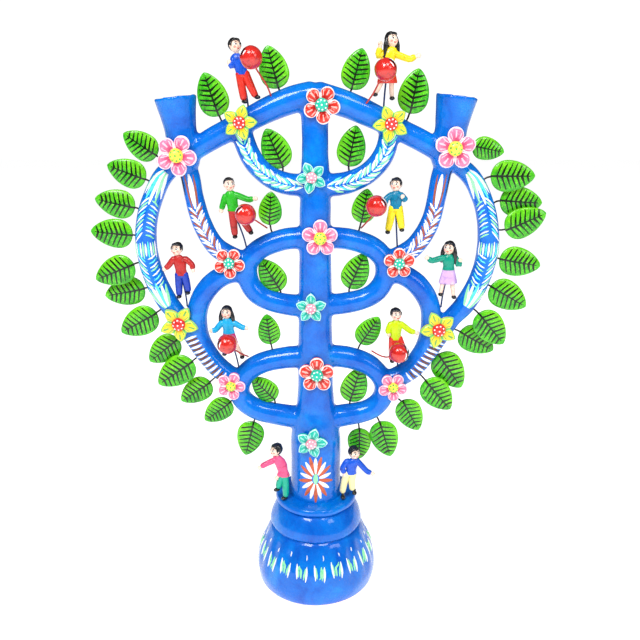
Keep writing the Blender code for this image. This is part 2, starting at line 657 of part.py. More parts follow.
def doll(name, plan, foot, out):
    """A little clay doll: head, body, arms, legs or skirt, shoes and the wire it stands on."""
    anchor = plan["foot"] or lowest_shoe(plan)

    def spot(point, forward=0.0):
        dx = (point[0] - anchor[0]) * MM * DOLL_SCALE
        dz = (point[1] - anchor[1]) * MM * DOLL_SCALE
        return Vector((foot.x + dx, plan["depth"] * MM + forward, foot.z + dz))

    size = DOLL_SCALE
    limb_radius = LIMB_RADIUS * size
    head_radius = HEAD_RADIUS * size
    down = Vector((0, 0, -1))
    hips, chest, neck, head = (spot(plan[key]) for key in ("hips", "chest", "neck", "head"))
    body_rings = []
    for centre, wide, thick in (
        (hips + down * 1.5 * MM * size, 4.6, 3.0),
        (hips, 4.6, 3.2),
        (chest, 5.0, 3.4),
        ((chest + neck) / 2 + Vector((0, 0, 1.2 * MM * size)), 4.0, 2.6),
        (neck + Vector((0, 0, 2.6 * MM * size)), 2.0, 2.0),
    ):
        body_rings.append(oval(centre, wide, thick, 7))
    body = loft(name, body_rings)
    head_rings = []
    for k in range(1, 5):
        angle = math.pi * k / 5
        radius = head_radius * math.sin(angle)
        level = head + down * head_radius * 1.18 * math.cos(angle)
        head_rings.append(ring(level, Vector((radius, 0, 0)), Vector((0, radius, 0)), 7))
    parts = [loft("head", head_rings)]
    for shoulder, elbow, hand in plan["arms"]:
        inner = spot(((shoulder[0] + plan["chest"][0]) / 2, shoulder[1] - 1))
        points = [inner, spot(shoulder), spot(elbow), spot(hand)]
        parts.append(limb(points, [limb_radius, limb_radius * 1.1, limb_radius, limb_radius * 0.85]))
    if "skirt" in plan:
        hem = spot((plan["hips"][0], plan["skirt"]))
        waist = hips + Vector((0, 0, 0.6 * MM * size))
        skirt_rings = []
        for centre, wide, thick in ((waist, 4.9, 3.5), ((hips + hem) / 2, 7.2, 4.6), (hem, 8.0, 5.2)):
            skirt_rings.append(oval(centre, wide, thick, 7))
        parts.append(loft("skirt", skirt_rings))
    for hip, ankle, shoe in plan["legs"]:
        leg_radius = limb_radius * (0.9 if "skirt" in plan else 1.35)
        top = spot(hip) + Vector((0, 0, 2 * MM * size))
        toe = spot(shoe)
        parts.append(limb([top, spot(ankle), toe], [leg_radius, leg_radius * 0.85, leg_radius * 0.7]))
        shoe_rings = []
        for level, wide, deep in ((2.0 * MM, 2.0, 2.2), (-SOLE, 2.7, 3.1)):
            centre = toe + Vector((0, -0.6 * MM * size, level * size))
            shoe_rings.append(oval(centre, wide, deep, 6))
        parts.append(loft("shoe", shoe_rings))
    if plan["wire"]:
        parts.append(stem("wire", [foot, foot + out * WIRE_LEAD, spot(plan["wire"]), hips]))
    return join(body, *parts)


# ---------------------------------------------------------------- the tree
def build():
    clear_scene()
    blue = material("blue_clay", COLOURS["blue"])
    green = material("leaf_green", COLOURS["leaf"])
    red = material("ball_red", COLOURS["ball"])
    cloth = material("doll_paint", COLOURS["shirt"])
    root = bpy.data.objects.new("tree_of_life", None)
    bpy.context.scene.collection.objects.link(root)

    drawn = {}
    runs = {}
    for side, word in ((-1, "left"), (1, "right")):
        drawn["crown_branch_" + word] = {"arch": ARCH[side], "hanging": HANGING[side]}
        drawn["middle_loop_" + word] = {"middle": MIDDLE[side]}
        drawn["lower_loop_" + word] = {"lower": LOWER[side]}
        drawn["inner_arm_" + word] = {"inner": INNER[side]}
        drawn["outer_arm_" + word] = {"outer": OUTER[side], "arm": MIDDLE_ARM[side]}
        foot, axis = cup_line(side)
        runs["candle_cup_" + word] = [
            [(foot, CUP_RIM_RADIUS * 0.78), (foot + axis * CUP_LENGTH * 0.6, CUP_RIM_RADIUS * 0.78)]
        ]
    for node, members in drawn.items():
        runs[node] = [course(points) for points in members.values()]
    runs["trunk"] = [[(Vector((0, 0, height)), radius) for radius, height in trunk_profile()]]

    frame = {"foot": foot_body(), "trunk": trunk_body("trunk")}
    for side, word in ((-1, "left"), (1, "right")):
        def coils_of(node, label, extra=0.0):
            members = zip(drawn[node], runs[node])
            return [coil(label, run, FACET_TURN[member], extra) for member, run in members]

        def cutters(*names):
            tools = []
            for name in names:
                if name == "trunk":
                    tools.append(trunk_body("cutter", SEAT_GAP))
                elif name == "candle_cup":
                    tools.append(cup_body("cutter", side, SEAT_GAP))
                else:
                    tools += coils_of(name + "_" + word, "cutter", SEAT_GAP)
            return tools

        seated = {
            "crown_branch": ("trunk", "candle_cup"),
            "middle_loop": ("trunk",),
            "lower_loop": ("trunk",),
            "inner_arm": ("candle_cup", "crown_branch", "middle_loop"),
            "outer_arm": ("candle_cup", "crown_branch", "inner_arm", "middle_loop", "lower_loop"),
        }
        for name, against in seated.items():
            node = name + "_" + word
            frame[node] = cut(join(*coils_of(node, node)), *cutters(*against))
            frame[node].name = node
        node = "candle_cup_" + word
        frame[node] = cut(cup_body(node, side), socket_body(side))

    for host, x, z, radius, _ in FLOWERS:
        join(frame[host], flower(runs[host], x, z, radius))
    for host, x, z, bearing, size, depth in INNER_LEAVES:
        base = at(x, z, depth)
        spot, radius = nearest(runs[host], Vector((base.x, 0, base.z)))
        rooted = spot + (Vector((base.x, 0, base.z)) - spot).normalized() * (radius - 1.5 * MM)
        join(frame[host], leaf("inner_leaf", rooted, base, math.radians(bearing), size))
    for made in frame.values():
        finish(made, blue, root=root)

    coils = [run for name, group in runs.items() if name != "trunk" for run in group]
    everything = coils + runs["trunk"]
    for name, (x, z, bearing, size, depth) in LEAVES.items():
        base = at(x, z, depth)
        foot, _ = edge_seat(everything, base)
        finish(leaf(name, foot, base, math.radians(bearing), size), green, foot, root)
    for name, (x, z, foot_x, foot_z) in BALLS.items():
        foot, out = front_seat(coils, at(foot_x, foot_z))
        finish(ball(name, at(x, z, BALL_DEPTH), foot, out), red, foot, root)
    for name, plan in DOLLS.items():
        if plan["foot"]:
            foot, out = edge_seat(coils, at(*plan["foot"]))
        else:
            out = Vector((0, 0, 1))
            foot = Vector((lowest_shoe(plan)[0] * MM, plan["depth"] * MM, FOOT_HEIGHT + SEAT_GAP))
            foot.z += SOLE * DOLL_SCALE
        finish(doll(name, plan, foot, out), cloth, foot, root)


build()
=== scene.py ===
"""Looks of the clay tree of life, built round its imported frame.

The blue clay is one skin: coils, trunk and cups fused and smoothed as luted and varnished clay is.  Flowers,
leaves, dolls and balls are pieces of their own, and the brush strokes are thin raised dabs of paint.
Everything is in metres in the frame's place, with -Y the painted front.
"""
import json
import math
import random
from functools import cache

import bpy
from mathutils import Matrix, Vector, noise
from mathutils.bvhtree import BVHTree
from mathutils.geometry import interpolate_bezier


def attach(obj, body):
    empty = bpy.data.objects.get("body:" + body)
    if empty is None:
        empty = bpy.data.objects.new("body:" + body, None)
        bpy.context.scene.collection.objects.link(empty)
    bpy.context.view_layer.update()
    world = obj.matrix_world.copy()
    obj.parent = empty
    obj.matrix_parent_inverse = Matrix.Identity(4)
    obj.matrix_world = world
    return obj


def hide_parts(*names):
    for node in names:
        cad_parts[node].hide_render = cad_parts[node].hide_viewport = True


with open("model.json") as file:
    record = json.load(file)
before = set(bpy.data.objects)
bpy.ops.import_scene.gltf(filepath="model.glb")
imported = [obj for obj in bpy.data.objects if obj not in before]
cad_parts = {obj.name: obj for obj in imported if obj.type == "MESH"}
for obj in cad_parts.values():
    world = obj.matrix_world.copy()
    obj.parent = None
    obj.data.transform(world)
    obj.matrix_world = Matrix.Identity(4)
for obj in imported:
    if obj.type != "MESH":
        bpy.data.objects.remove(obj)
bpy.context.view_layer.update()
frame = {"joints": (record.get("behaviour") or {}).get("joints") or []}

MM = 0.001
FRONT = Vector((0, -1, 0))
UP = Vector((0, 0, 1))
EAST = Vector((1, 0, 0))
NORTH = Vector((0, 1, 0))
# How far in front of the tree, in metres, rays set out to find the clay.
FAR = 0.2
PIVOTS = {joint["child"]: Vector(joint["pos_m"]) for joint in frame["joints"]}
# One seeded source serves every random draw, so each run gives the same tree.
chance = random.Random(7)

# ---------------------------------------------------------------- sizes, in millimetres
# Coils as (x, z, share of COIL) from the trunk or cup onwards, for the left (-1) and the right (1).
COIL = 9.5
SKIN_VOXEL = 1.25

ARCH = {
    -1: [(-2, 461, 1.18), (-20, 456.5, 1.18), (-42, 448, 1.1), (-64, 437, 1.0), (-90, 424, 0.98),
         (-109, 412, 0.95)],
    1: [(2, 461, 1.18), (20, 455.5, 1.18), (42, 447, 1.1), (64, 436.5, 1.0), (90, 424, 0.98),
        (110, 413, 0.95)],
}
HANGING = {
    -1: [(-2, 387, 1.02), (-26, 389, 1.02), (-45, 399, 0.98), (-57, 416, 0.95), (-63, 437, 0.9)],
    1: [(2, 387, 1.02), (26, 389, 1.02), (46, 398, 0.98), (59, 415, 0.95), (63, 436, 0.9)],
}
MIDDLE = {
    -1: [(-2, 342, 1.05), (-26, 340.5, 1.02), (-47, 333, 1.0), (-58.5, 322, 1.0), (-61, 310, 1.0),
         (-57, 297, 1.0), (-46, 287, 1.0), (-26, 281, 1.02), (-2, 279, 1.05)],
    1: [(2, 342, 1.05), (26, 341, 1.02), (47, 335, 1.0), (59.5, 324, 1.0), (62.5, 311, 1.0),
        (58.5, 298, 1.0), (47, 288, 1.0), (26, 282, 1.02), (2, 280, 1.05)],
}
LOWER = {
    -1: [(-2, 231, 1.1), (-26, 230, 1.08), (-49, 225, 1.05), (-65, 214, 1.0), (-71.5, 199, 1.0),
         (-67, 186, 1.02), (-53, 177, 1.08), (-30, 172, 1.12), (-2, 168, 1.15)],
    1: [(2, 232, 1.1), (26, 231, 1.08), (46, 225, 1.05), (59, 214, 1.0), (64.5, 201, 1.0), (61, 187, 1.02),
        (49, 177, 1.08), (28, 172, 1.12), (2, 168, 1.15)],
}
INNER = {
    -1: [(-110, 411, 0.8), (-107, 395, 0.88), (-104, 375, 0.87), (-100, 358, 0.88), (-93, 342, 0.92),
         (-83, 330, 0.95), (-62, 320, 0.9)],
    1: [(111, 412, 0.8), (107.5, 395, 0.88), (104.5, 375, 0.87), (101, 358, 0.88), (94, 343, 0.92),
        (84, 331, 0.95), (63, 320, 0.9)],
}
OUTER = {
    -1: [(-113, 409, 0.8), (-129, 396, 0.85), (-138.5, 380, 0.9), (-145.5, 362, 0.97), (-148.5, 342, 1.0),
         (-147, 320, 1.0), (-141.5, 300, 1.0), (-132.5, 282, 1.0), (-122, 267, 0.92), (-113, 249, 0.72),
         (-103.5, 232, 0.68), (-92, 217, 0.66), (-78, 206, 0.6)],
    1: [(114, 410, 0.8), (132, 396, 0.85), (142, 380, 0.9), (149, 361, 0.97), (152, 340, 1.0),
        (150, 318, 1.0), (144, 298, 1.0), (134, 280, 1.0), (122, 266, 0.92), (112.5, 247, 0.72),
        (103.5, 231, 0.68), (92, 216, 0.66), (76, 205, 0.6)],
}
MIDDLE_ARM = {
    -1: [(-61, 309, 0.8), (-75, 309.5, 0.95), (-88, 304, 1.0), (-99, 293, 1.0), (-106, 279, 1.0),
         (-108, 263, 1.0), (-105.5, 247, 1.0), (-97, 230, 1.0), (-85, 216, 1.0), (-70, 207, 0.85)],
    1: [(62, 309, 0.8), (75, 309, 0.95), (87, 303, 1.0), (97, 292, 1.0), (103.5, 279, 1.0),
        (105.5, 263, 1.0), (103.5, 247, 1.0), (96, 230, 1.0), (84, 216, 1.0), (65, 207, 0.85)],
}
# Turned shapes as (radius, height); the cups' heights run along their axes.
TRUNK = [(25.6, 84), (25.6, 92), (24.6, 98), (24, 108), (23.7, 150), (21.7, 166), (18.2, 182), (16.5, 204),
         (15.9, 240), (15.3, 268), (14.6, 310), (14.1, 345), (12.8, 385), (11.4, 412), (11.4, 438),
         (12.6, 452), (11.4, 466), (6, 470)]
CUP_AXIS = {-1: ((-109.5, 404), (-115.8, 459)), 1: ((110.5, 405), (117.4, 460))}
CUP_OUTSIDE = [(7, -6), (11.4, -1), (13.5, 8), (13.5, 30), (14.9, 41), (16.6, 52), (17.3, 54.5), (16.9, 56)]
CUP_INSIDE = [(14.4, 55.6), (12.6, 52.4), (11.3, 49), (11.2, 38), (10.4, 36.2), (4, 36)]
FOOT_OUTSIDE = [(49.6, 0.3), (53, 0), (55.6, 1.2), (57, 3), (58.4, 9.2), (58.9, 17), (57.4, 28), (52.8, 40.5),
                (47.4, 52), (44, 57.5), (42, 59.4), (43.4, 60.6), (44.6, 62.6), (44.7, 65), (43, 71),
                (39.6, 78), (36.6, 82), (35, 83.4), (36.8, 84.6), (38.8, 86.6), (38.6, 89.4), (36.6, 91.6),
                (30, 92.2), (20, 92)]
FOOT_INSIDE = [(50.3, 6), (50.5, 11), (50.1, 27.6), (45.1, 43), (33.3, 60.7), (28.6, 73.6), (21.5, 81),
               (5, 82)]
FLUTES, FLUTE_START, FLUTE_HEIGHT, FLUTE_DEPTH = 20, 0.07, 37, 1.5

# Flowers as (name, x, z, radius, kind, turn in degrees).
FLOWERS = [
    ("crown", 5.5, 453, 15.6, "red", 8),
    ("trunk_2", -3, 395, 13.6, "turquoise", -12),
    ("trunk_3", 4.3, 344, 15.8, "pink", 36),
    ("trunk_4", -4, 282, 14, "turquoise", 36),
    ("trunk_5", 1.2, 220, 16.6, "red", 36),
    ("trunk_6", -4, 155, 15, "turquoise", 20),
    ("crown_left", -62, 439, 15, "yellow", 20),
    ("crown_right", 62.5, 438, 15.4, "yellow", -12),
    ("cup_left", -114.7, 413, 17, "pink", 8),
    ("cup_right", 115.4, 418.6, 17.5, "pink", 36),
    ("inner_left", -75.2, 321.2, 14, "red", 4),
    ("inner_right", 73.1, 321, 14, "red", 36),
    ("outer_left", -122.2, 265.8, 17.4, "yellow", 4),
    ("outer_right", 110.6, 260.3, 17.4, "yellow", -12),
    ("lower_left", -77.9, 205.7, 13.6, "pink", 14),
    ("lower_right", 71.5, 204.4, 13.8, "pink", 4),
]
FLOWER_GAP = 0.2

# Leaves inside the loops as (x, z, bearing, size).
INNER_LEAVES = [
    (-27, 402, 114, 0.92), (28, 403, 79, 0.9), (-40, 353, 86, 0.76), (40, 355, 80, 0.78),
    (-31, 294, 121, 0.87), (30, 296, 67, 0.9), (-41, 243, 97, 0.76), (41, 243.5, 57, 0.8),
    (-38, 188, 133, 0.79), (32, 186, 74, 0.93),
]
LEAF_LENGTH, LEAF_WIDTH, LEAF_THICK = 38, 26.5, 5

# Balls as (centre, wire points from the clay up, first and last degree of the paint marks).
BALLS = {
    "ball_1": ((-50.2, 488.6), [(-35.9, 459.5), (-39.1, 468.3), (-46.9, 480.5)], (118, 175)),
    "ball_2": ((56.1, 479.8), [(41.6, 453.6), (47.6, 462.4), (52.3, 472.4)], (10, 78)),
    "ball_3": ((-58.5, 365), [(-42.3, 350.2), (-51.6, 358.8)], (100, 172)),
    "ball_4": ((51.4, 371.9), [(40.2, 350.2), (48.1, 361.4)], (2, 70)),
    "ball_5": ((-78.5, 249.8), [(-62.4, 230.7), (-67.7, 236), (-73.1, 242.3)], (125, 205)),
    "ball_6": ((74.6, 241.5), [(52, 236), (59.3, 234.1), (65, 235.1)], (-50, 40)),
}
BALL_DEPTH, BALL_RADIUS = -19.5, 9
STRIPED_BALL = "ball_6"

# Dolls as (x, z) places; arms run shoulder, elbow, hand and legs hip, ankle, shoe; yaw is in degrees.
DOLLS = {
    "doll_1_boy": dict(
        foot=(-55.3, 453.1), head=(-64.5, 498.5), neck=(-63.5, 492), chest=(-62.5, 487), hips=(-59.5, 477),
        arms=[[(-66, 489), (-67, 483), (-69.5, 486)], [(-59, 489), (-55, 485), (-54, 488)]],
        legs=[[(-61.5, 476), (-59.3, 460), (-58.7, 456)], [(-57, 476), (-50.5, 462), (-48.3, 459.5)]],
        yaw=38, top="blue_shirt", below="red_cloth", hair="short"),
    "doll_2_girl": dict(
        foot=(56.8, 451.5), head=(62.3, 503), neck=(62, 497), chest=(60.5, 491), hips=(59, 483), skirt=470,
        arms=[[(56, 493), (51.5, 491), (52.5, 500)], [(66, 492), (76, 488.5), (84, 491)]],
        legs=[[(55, 471), (51.5, 464), (49.5, 461.5)], [(63, 471), (62.7, 461), (63.5, 458.5)]],
        yaw=28, top="yellow_cloth", below="red_cloth", hair="long"),
    "doll_3_boy": dict(
        foot=(-60.4, 335.2), head=(-73.5, 387.5), neck=(-72.5, 382), chest=(-72.5, 376), hips=(-70.5, 366),
        arms=[[(-77, 378), (-79.5, 371), (-81, 366)], [(-68, 379), (-58, 375.5), (-51, 376.5)]],
        legs=[[(-72, 366), (-70.5, 347), (-70, 343.5)], [(-68, 365), (-58.5, 350), (-56, 347)]],
        yaw=22, top="green_cloth", below="dark_red_cloth", hair="cropped"),
    "doll_4_boy": dict(
        foot=(72, 334.8), head=(69, 387.5), neck=(69.5, 382), chest=(69.7, 376), hips=(69.5, 368),
        arms=[[(65.5, 379), (61, 376), (60, 371)], [(73.5, 379), (77.5, 375), (74.8, 378)]],
        legs=[[(67, 367), (64, 351), (63, 347.5)], [(72, 367), (75, 352.5), (75.3, 349.5)]],
        yaw=-24, top="teal_cloth", below="yellow_cloth", hair="short"),
    "doll_5_boy": dict(
        foot=(-115.5, 281.8), head=(-122, 331.5), neck=(-121, 326), chest=(-119.7, 319), hips=(-119, 309),
        arms=[[(-125, 323), (-129.6, 317.5), (-133.2, 314.5)], [(-114.5, 323), (-109, 318.5), (-108, 313.5)]],
        legs=[[(-121.5, 308), (-122, 293), (-122, 289.5)], [(-116.5, 308), (-113.8, 296.5), (-114, 293)]],
        yaw=-18, top="dark_red_cloth", below="navy_cloth", hair="short"),
    "doll_6_girl": dict(
        foot=(113.1, 281.1), head=(117.5, 332.5), neck=(117.7, 327), chest=(117.8, 321), hips=(118, 314),
        skirt=301,
        arms=[[(112, 324), (103, 322), (97.8, 325)], [(123.5, 324), (126.5, 318), (127.5, 322.5)]],
        legs=[[(113.5, 302), (112.5, 294.5), (112, 291.5)], [(122, 302), (122.8, 292), (124, 289)]],
        yaw=-26, top="jade_cloth", below="lilac_cloth", hair="long"),
    "doll_7_girl": dict(
        foot=(-70.9, 221.9), head=(-80.5, 273.5), neck=(-80, 268), chest=(-79.5, 262), hips=(-79, 255),
        skirt=242,
        arms=[[(-85, 264), (-90.5, 258), (-94.5, 257.5)], [(-74, 264), (-67, 260.5), (-62.5, 260)]],
        legs=[[(-81.5, 243), (-83, 238), (-83.5, 235)], [(-73, 243), (-69, 235), (-67.5, 232)]],
        yaw=-8, top="sky_cloth", below="magenta_cloth", hair="long"),
    "doll_8_boy": dict(
        foot=(76.1, 222.7), head=(73, 271.5), neck=(73, 266), chest=(73, 258.5), hips=(73, 249),
        arms=[[(68.5, 263), (66, 258), (66.5, 254)], [(77.5, 263), (86, 257), (92, 255.5)]],
        legs=[[(70.5, 248), (70.3, 231), (70.5, 228)], [(76, 248), (81.5, 236), (82.7, 233.2)]],
        yaw=16, top="lime_cloth", below="red_cloth", hair="short"),
    "doll_9_boy": dict(
        foot=(-29, 95), head=(-37.5, 144.5), neck=(-36, 138.5), chest=(-32.5, 130), hips=(-30, 118.5),
        arms=[[(-37, 135), (-47, 131), (-52.8, 128)], [(-30.3, 132), (-31.5, 123.5), (-37, 117)]],
        legs=[[(-32, 117.5), (-35, 108.5), (-36, 104)], [(-29.3, 117.5), (-28, 99), (-29, 95)]],
        yaw=-52, top="pink_cloth", below="teal_green_cloth", hair="full"),
    "doll_10_boy": dict(
        foot=(26, 95), head=(36.7, 140.5), neck=(35.5, 134.5), chest=(34, 128), hips=(33.3, 120),
        arms=[[(29.5, 132), (25.5, 126), (27.5, 119)], [(39, 132.5), (48, 123), (54, 120.5)]],
        legs=[[(30, 118.5), (25.5, 104), (26, 95)], [(35.5, 118), (33.5, 106), (37, 99.5)]],
        yaw=30, top="blue_shirt", below="cream_cloth", hair="full"),
}

# How far forward (negative) the dolls stand: those in the tree, and the two on the foot.
DOLL_DEPTH = -2
STANDING = {"doll_9_boy": -19, "doll_10_boy": -17}
HEAD_HALF = (4.6, 4.7, 5.6)

# ---------------------------------------------------------------- materials
# Colours as (shade, body, light), linear.
PAINTS = {
    "blue_shirt": ((0.0, 0.03, 0.35), (0.005, 0.09, 0.62), (0.03, 0.2, 0.85)),
    "navy_cloth": ((0.0, 0.015, 0.2), (0.01, 0.045, 0.42), (0.03, 0.1, 0.62)),
    "red_cloth": ((0.4, 0.01, 0.005), (0.75, 0.03, 0.015), (0.9, 0.12, 0.06)),
    "dark_red_cloth": ((0.25, 0.01, 0.01), (0.48, 0.02, 0.018), (0.65, 0.08, 0.06)),
    "yellow_cloth": ((0.7, 0.4, 0.0), (0.92, 0.75, 0.01), (0.98, 0.88, 0.12)),
    "green_cloth": ((0.01, 0.22, 0.01), (0.02, 0.45, 0.015), (0.1, 0.65, 0.04)),
    "teal_cloth": ((0.0, 0.08, 0.18), (0.0, 0.2, 0.36), (0.03, 0.36, 0.55)),
    "jade_cloth": ((0.0, 0.13, 0.09), (0.0, 0.3, 0.2), (0.04, 0.5, 0.34)),
    "lilac_cloth": ((0.4, 0.22, 0.5), (0.66, 0.42, 0.76), (0.82, 0.62, 0.9)),
    "sky_cloth": ((0.0, 0.2, 0.45), (0.01, 0.4, 0.72), (0.08, 0.6, 0.88)),
    "magenta_cloth": ((0.3, 0.01, 0.09), (0.55, 0.03, 0.18), (0.75, 0.12, 0.3)),
    "lime_cloth": ((0.35, 0.5, 0.0), (0.58, 0.78, 0.0), (0.75, 0.92, 0.06)),
    "pink_cloth": ((0.5, 0.03, 0.12), (0.8, 0.09, 0.24), (0.92, 0.25, 0.4)),
    "teal_green_cloth": ((0.0, 0.2, 0.13), (0.0, 0.42, 0.27), (0.05, 0.62, 0.42)),
    "cream_cloth": ((0.7, 0.58, 0.25), (0.9, 0.82, 0.42), (0.97, 0.93, 0.62)),
    "doll_skin": ((0.75, 0.45, 0.32), (0.93, 0.7, 0.56), (0.98, 0.84, 0.74)),
    "doll_black": ((0.003, 0.003, 0.003), (0.01, 0.01, 0.011), (0.035, 0.035, 0.04)),
    "doll_blush": ((0.8, 0.2, 0.15), (0.9, 0.32, 0.26), (0.95, 0.45, 0.38)),
    "lip_red": ((0.4, 0.01, 0.01), (0.65, 0.03, 0.03), (0.8, 0.1, 0.08)),
    "white_paint": ((0.7, 0.78, 0.85), (0.88, 0.92, 0.95), (0.97, 0.98, 0.98)),
    "green_paint": ((0.12, 0.6, 0.25), (0.3, 0.82, 0.42), (0.6, 0.95, 0.65)),
    "turquoise_paint": ((0.02, 0.5, 0.5), (0.1, 0.75, 0.68), (0.45, 0.92, 0.88)),
    "terracotta_paint": ((0.18, 0.05, 0.03), (0.36, 0.09, 0.05), (0.55, 0.2, 0.12)),
    "brown_paint": ((0.04, 0.012, 0.006), (0.12, 0.03, 0.015), (0.3, 0.09, 0.04)),
    "orange_paint": ((0.35, 0.05, 0.01), (0.58, 0.1, 0.03), (0.75, 0.22, 0.1)),
    "black_paint": ((0.002, 0.002, 0.002), (0.006, 0.006, 0.007), (0.03, 0.03, 0.03)),
    "ball_red": ((0.3, 0.005, 0.004), (0.62, 0.02, 0.014), (0.8, 0.08, 0.05)),
    "wire_red": ((0.25, 0.01, 0.01), (0.5, 0.03, 0.02), (0.7, 0.1, 0.06)),
    "wire_blue": ((0.0, 0.01, 0.05), (0.005, 0.03, 0.14), (0.02, 0.08, 0.3)),
    "dot_white": ((0.8, 0.8, 0.8), (0.92, 0.92, 0.92), (0.98, 0.98, 0.98)),
    "dot_green": ((0.02, 0.3, 0.03), (0.08, 0.6, 0.08), (0.3, 0.8, 0.2)),
    "dome_red": ((0.4, 0.01, 0.01), (0.72, 0.03, 0.025), (0.85, 0.12, 0.08)),
    "dome_teal": ((0.0, 0.3, 0.2), (0.01, 0.52, 0.36), (0.08, 0.7, 0.52)),
    "dome_pink": ((0.7, 0.15, 0.25), (0.88, 0.36, 0.46), (0.95, 0.6, 0.66)),
    "dome_yellow": ((0.75, 0.5, 0.02), (0.92, 0.82, 0.08), (0.98, 0.92, 0.3)),
}
# Roughness and varnish of the paints that aren't finished like the rest.
FINISHES = {"ball_red": (0.16, 0.8), "doll_skin": (0.38, 0.3), "doll_black": (0.25, 0.5),
            "doll_blush": (0.4, 0.2)}
PLAIN_FINISH = (0.3, 0.25)
TINTS = ("white_paint", "green_paint", "white_paint", "turquoise_paint")
# How far up the foot's rim the paint is worn, in millimetres.
CHIP_HEIGHT = 3.2


class Field:
    """A number that varies over a surface; arithmetic on it adds Math nodes to its material."""

    def __init__(self, tree, socket):
        self.tree, self.socket = tree, socket

    def maths(self, operation, other=0.0):
        node = add_node(self.tree, "ShaderNodeMath", {0: self, 1: other}, operation=operation)
        return Field(self.tree, node.outputs[0])

    def __add__(self, other):
        return self.maths("ADD", other)

    def __sub__(self, other):
        return self.maths("SUBTRACT", other)

    def __mul__(self, other):
        return self.maths("MULTIPLY", other)

    def __gt__(self, other):
        return self.maths("GREATER_THAN", other)

    def __lt__(self, other):
        return self.maths("LESS_THAN", other)

    def __abs__(self):
        return self.maths("ABSOLUTE")

    def clamped(self):
        self.socket.node.use_clamp = True
        return self


def add_node(tree, kind, inputs=None, **settings):
    """A node whose inputs are linked to fields and sockets, or set to plain values."""
    node = tree.nodes.new(kind)
    for key, value in settings.items():
        setattr(node, key, value)
    for key, value in (inputs or {}).items():
        socket = node.inputs[key]
        source = value.socket if isinstance(value, Field) else value
        if isinstance(source, bpy.types.NodeSocket):
            tree.links.new(source, socket)
        else:
            socket.default_value = (*source, 1.0) if socket.type == "RGBA" else source
    return node


def new_material(name, roughness, coat, specular):
    """A Principled material with its plain values on its own sockets."""
    material = bpy.data.materials.new(name)
    material.use_nodes = True
    shader = material.node_tree.nodes["Principled BSDF"]
    for socket, value in (("Roughness", roughness), ("Coat Weight", coat), ("Coat Roughness", 0.12),
                          ("Specular IOR Level", specular)):
        shader.inputs[socket].default_value = value
    return material, material.node_tree, shader


def object_place(tree):
    return add_node(tree, "ShaderNodeTexCoord").outputs["Object"]


def mottle(tree, scale, detail=4.0, roughness=0.55, distortion=0.0):
    """Noise that runs through the clay itself, so that it doesn't slide over the surface."""
    inputs = {"Vector": object_place(tree), "Scale": scale, "Detail": detail, "Roughness": roughness,
              "Distortion": distortion}
    return Field(tree, add_node(tree, "ShaderNodeTexNoise", inputs).outputs["Fac"])


def split(tree, vector):
    """The three parts of a vector, as fields."""
    return [Field(tree, part) for part in add_node(tree, "ShaderNodeSeparateXYZ", {0: vector}).outputs]


def painted_by(tree):
    """The three painting coordinates that a shape's vertices carry."""
    return split(tree, add_node(tree, "ShaderNodeAttribute", attribute_name="paint").outputs["Vector"])


def ramp(field, stops):
    node = add_node(field.tree, "ShaderNodeValToRGB", {"Fac": field})
    band = node.color_ramp
    while len(band.elements) < len(stops):
        band.elements.new(0.5)
    for element, (place, colour) in zip(band.elements, stops):
        element.position = place
        element.color = (*colour, 1.0)
    return node.outputs["Color"]


def greys(*stops):
    return [(place, (tone,) * 3) for place, tone in stops]


def blend(share, first, second):
    """A mix of two colours, each a socket or plain red, green and blue."""
    return add_node(share.tree, "ShaderNodeMix", {0: share, 6: first, 7: second}, data_type="RGBA").outputs[2]


def bump(height, depth, under=None, strength=1.0):
    """A field as relief of a depth in millimetres, on top of another relief."""
    inputs = {"Strength": strength, "Distance": depth * MM, "Height": height}
    if under is not None:
        inputs["Normal"] = under
    return add_node(height.tree, "ShaderNodeBump", inputs).outputs["Normal"]


def finish(tree, shader, colour, parts, relief=None, gloss=None):
    """Links a colour, relief from mottles as (scale, depth in millimetres) pairs, and uneven gloss."""
    for scale, depth in parts:
        relief = bump(mottle(tree, scale), depth, relief)
    tree.links.new(colour, shader.inputs["Base Color"])
    tree.links.new(relief, shader.inputs["Normal"])
    if gloss is not None:
        tree.links.new(gloss, shader.inputs["Roughness"])


@cache
def paint(name):
    """A brushed and varnished paint, mottled between its shade, body and light colours."""
    roughness, coat = FINISHES.get(name, PLAIN_FINISH)
    material, tree, shader = new_material(name, roughness, coat, 0.35)
    shade, body, light = PAINTS[name]
    streaks = mottle(tree, 220.0, 5.0, 0.6, 0.4)
    colour = ramp(streaks, [(0.28, shade), (0.46, body), (0.6, body), (0.78, light)])
    gloss = ramp(mottle(tree, 500.0), greys((0.3, roughness * 0.7), (0.7, roughness * 1.5)))
    finish(tree, shader, colour, [(300.0, 0.25), (1100.0, 0.12)], gloss=gloss)
    return material


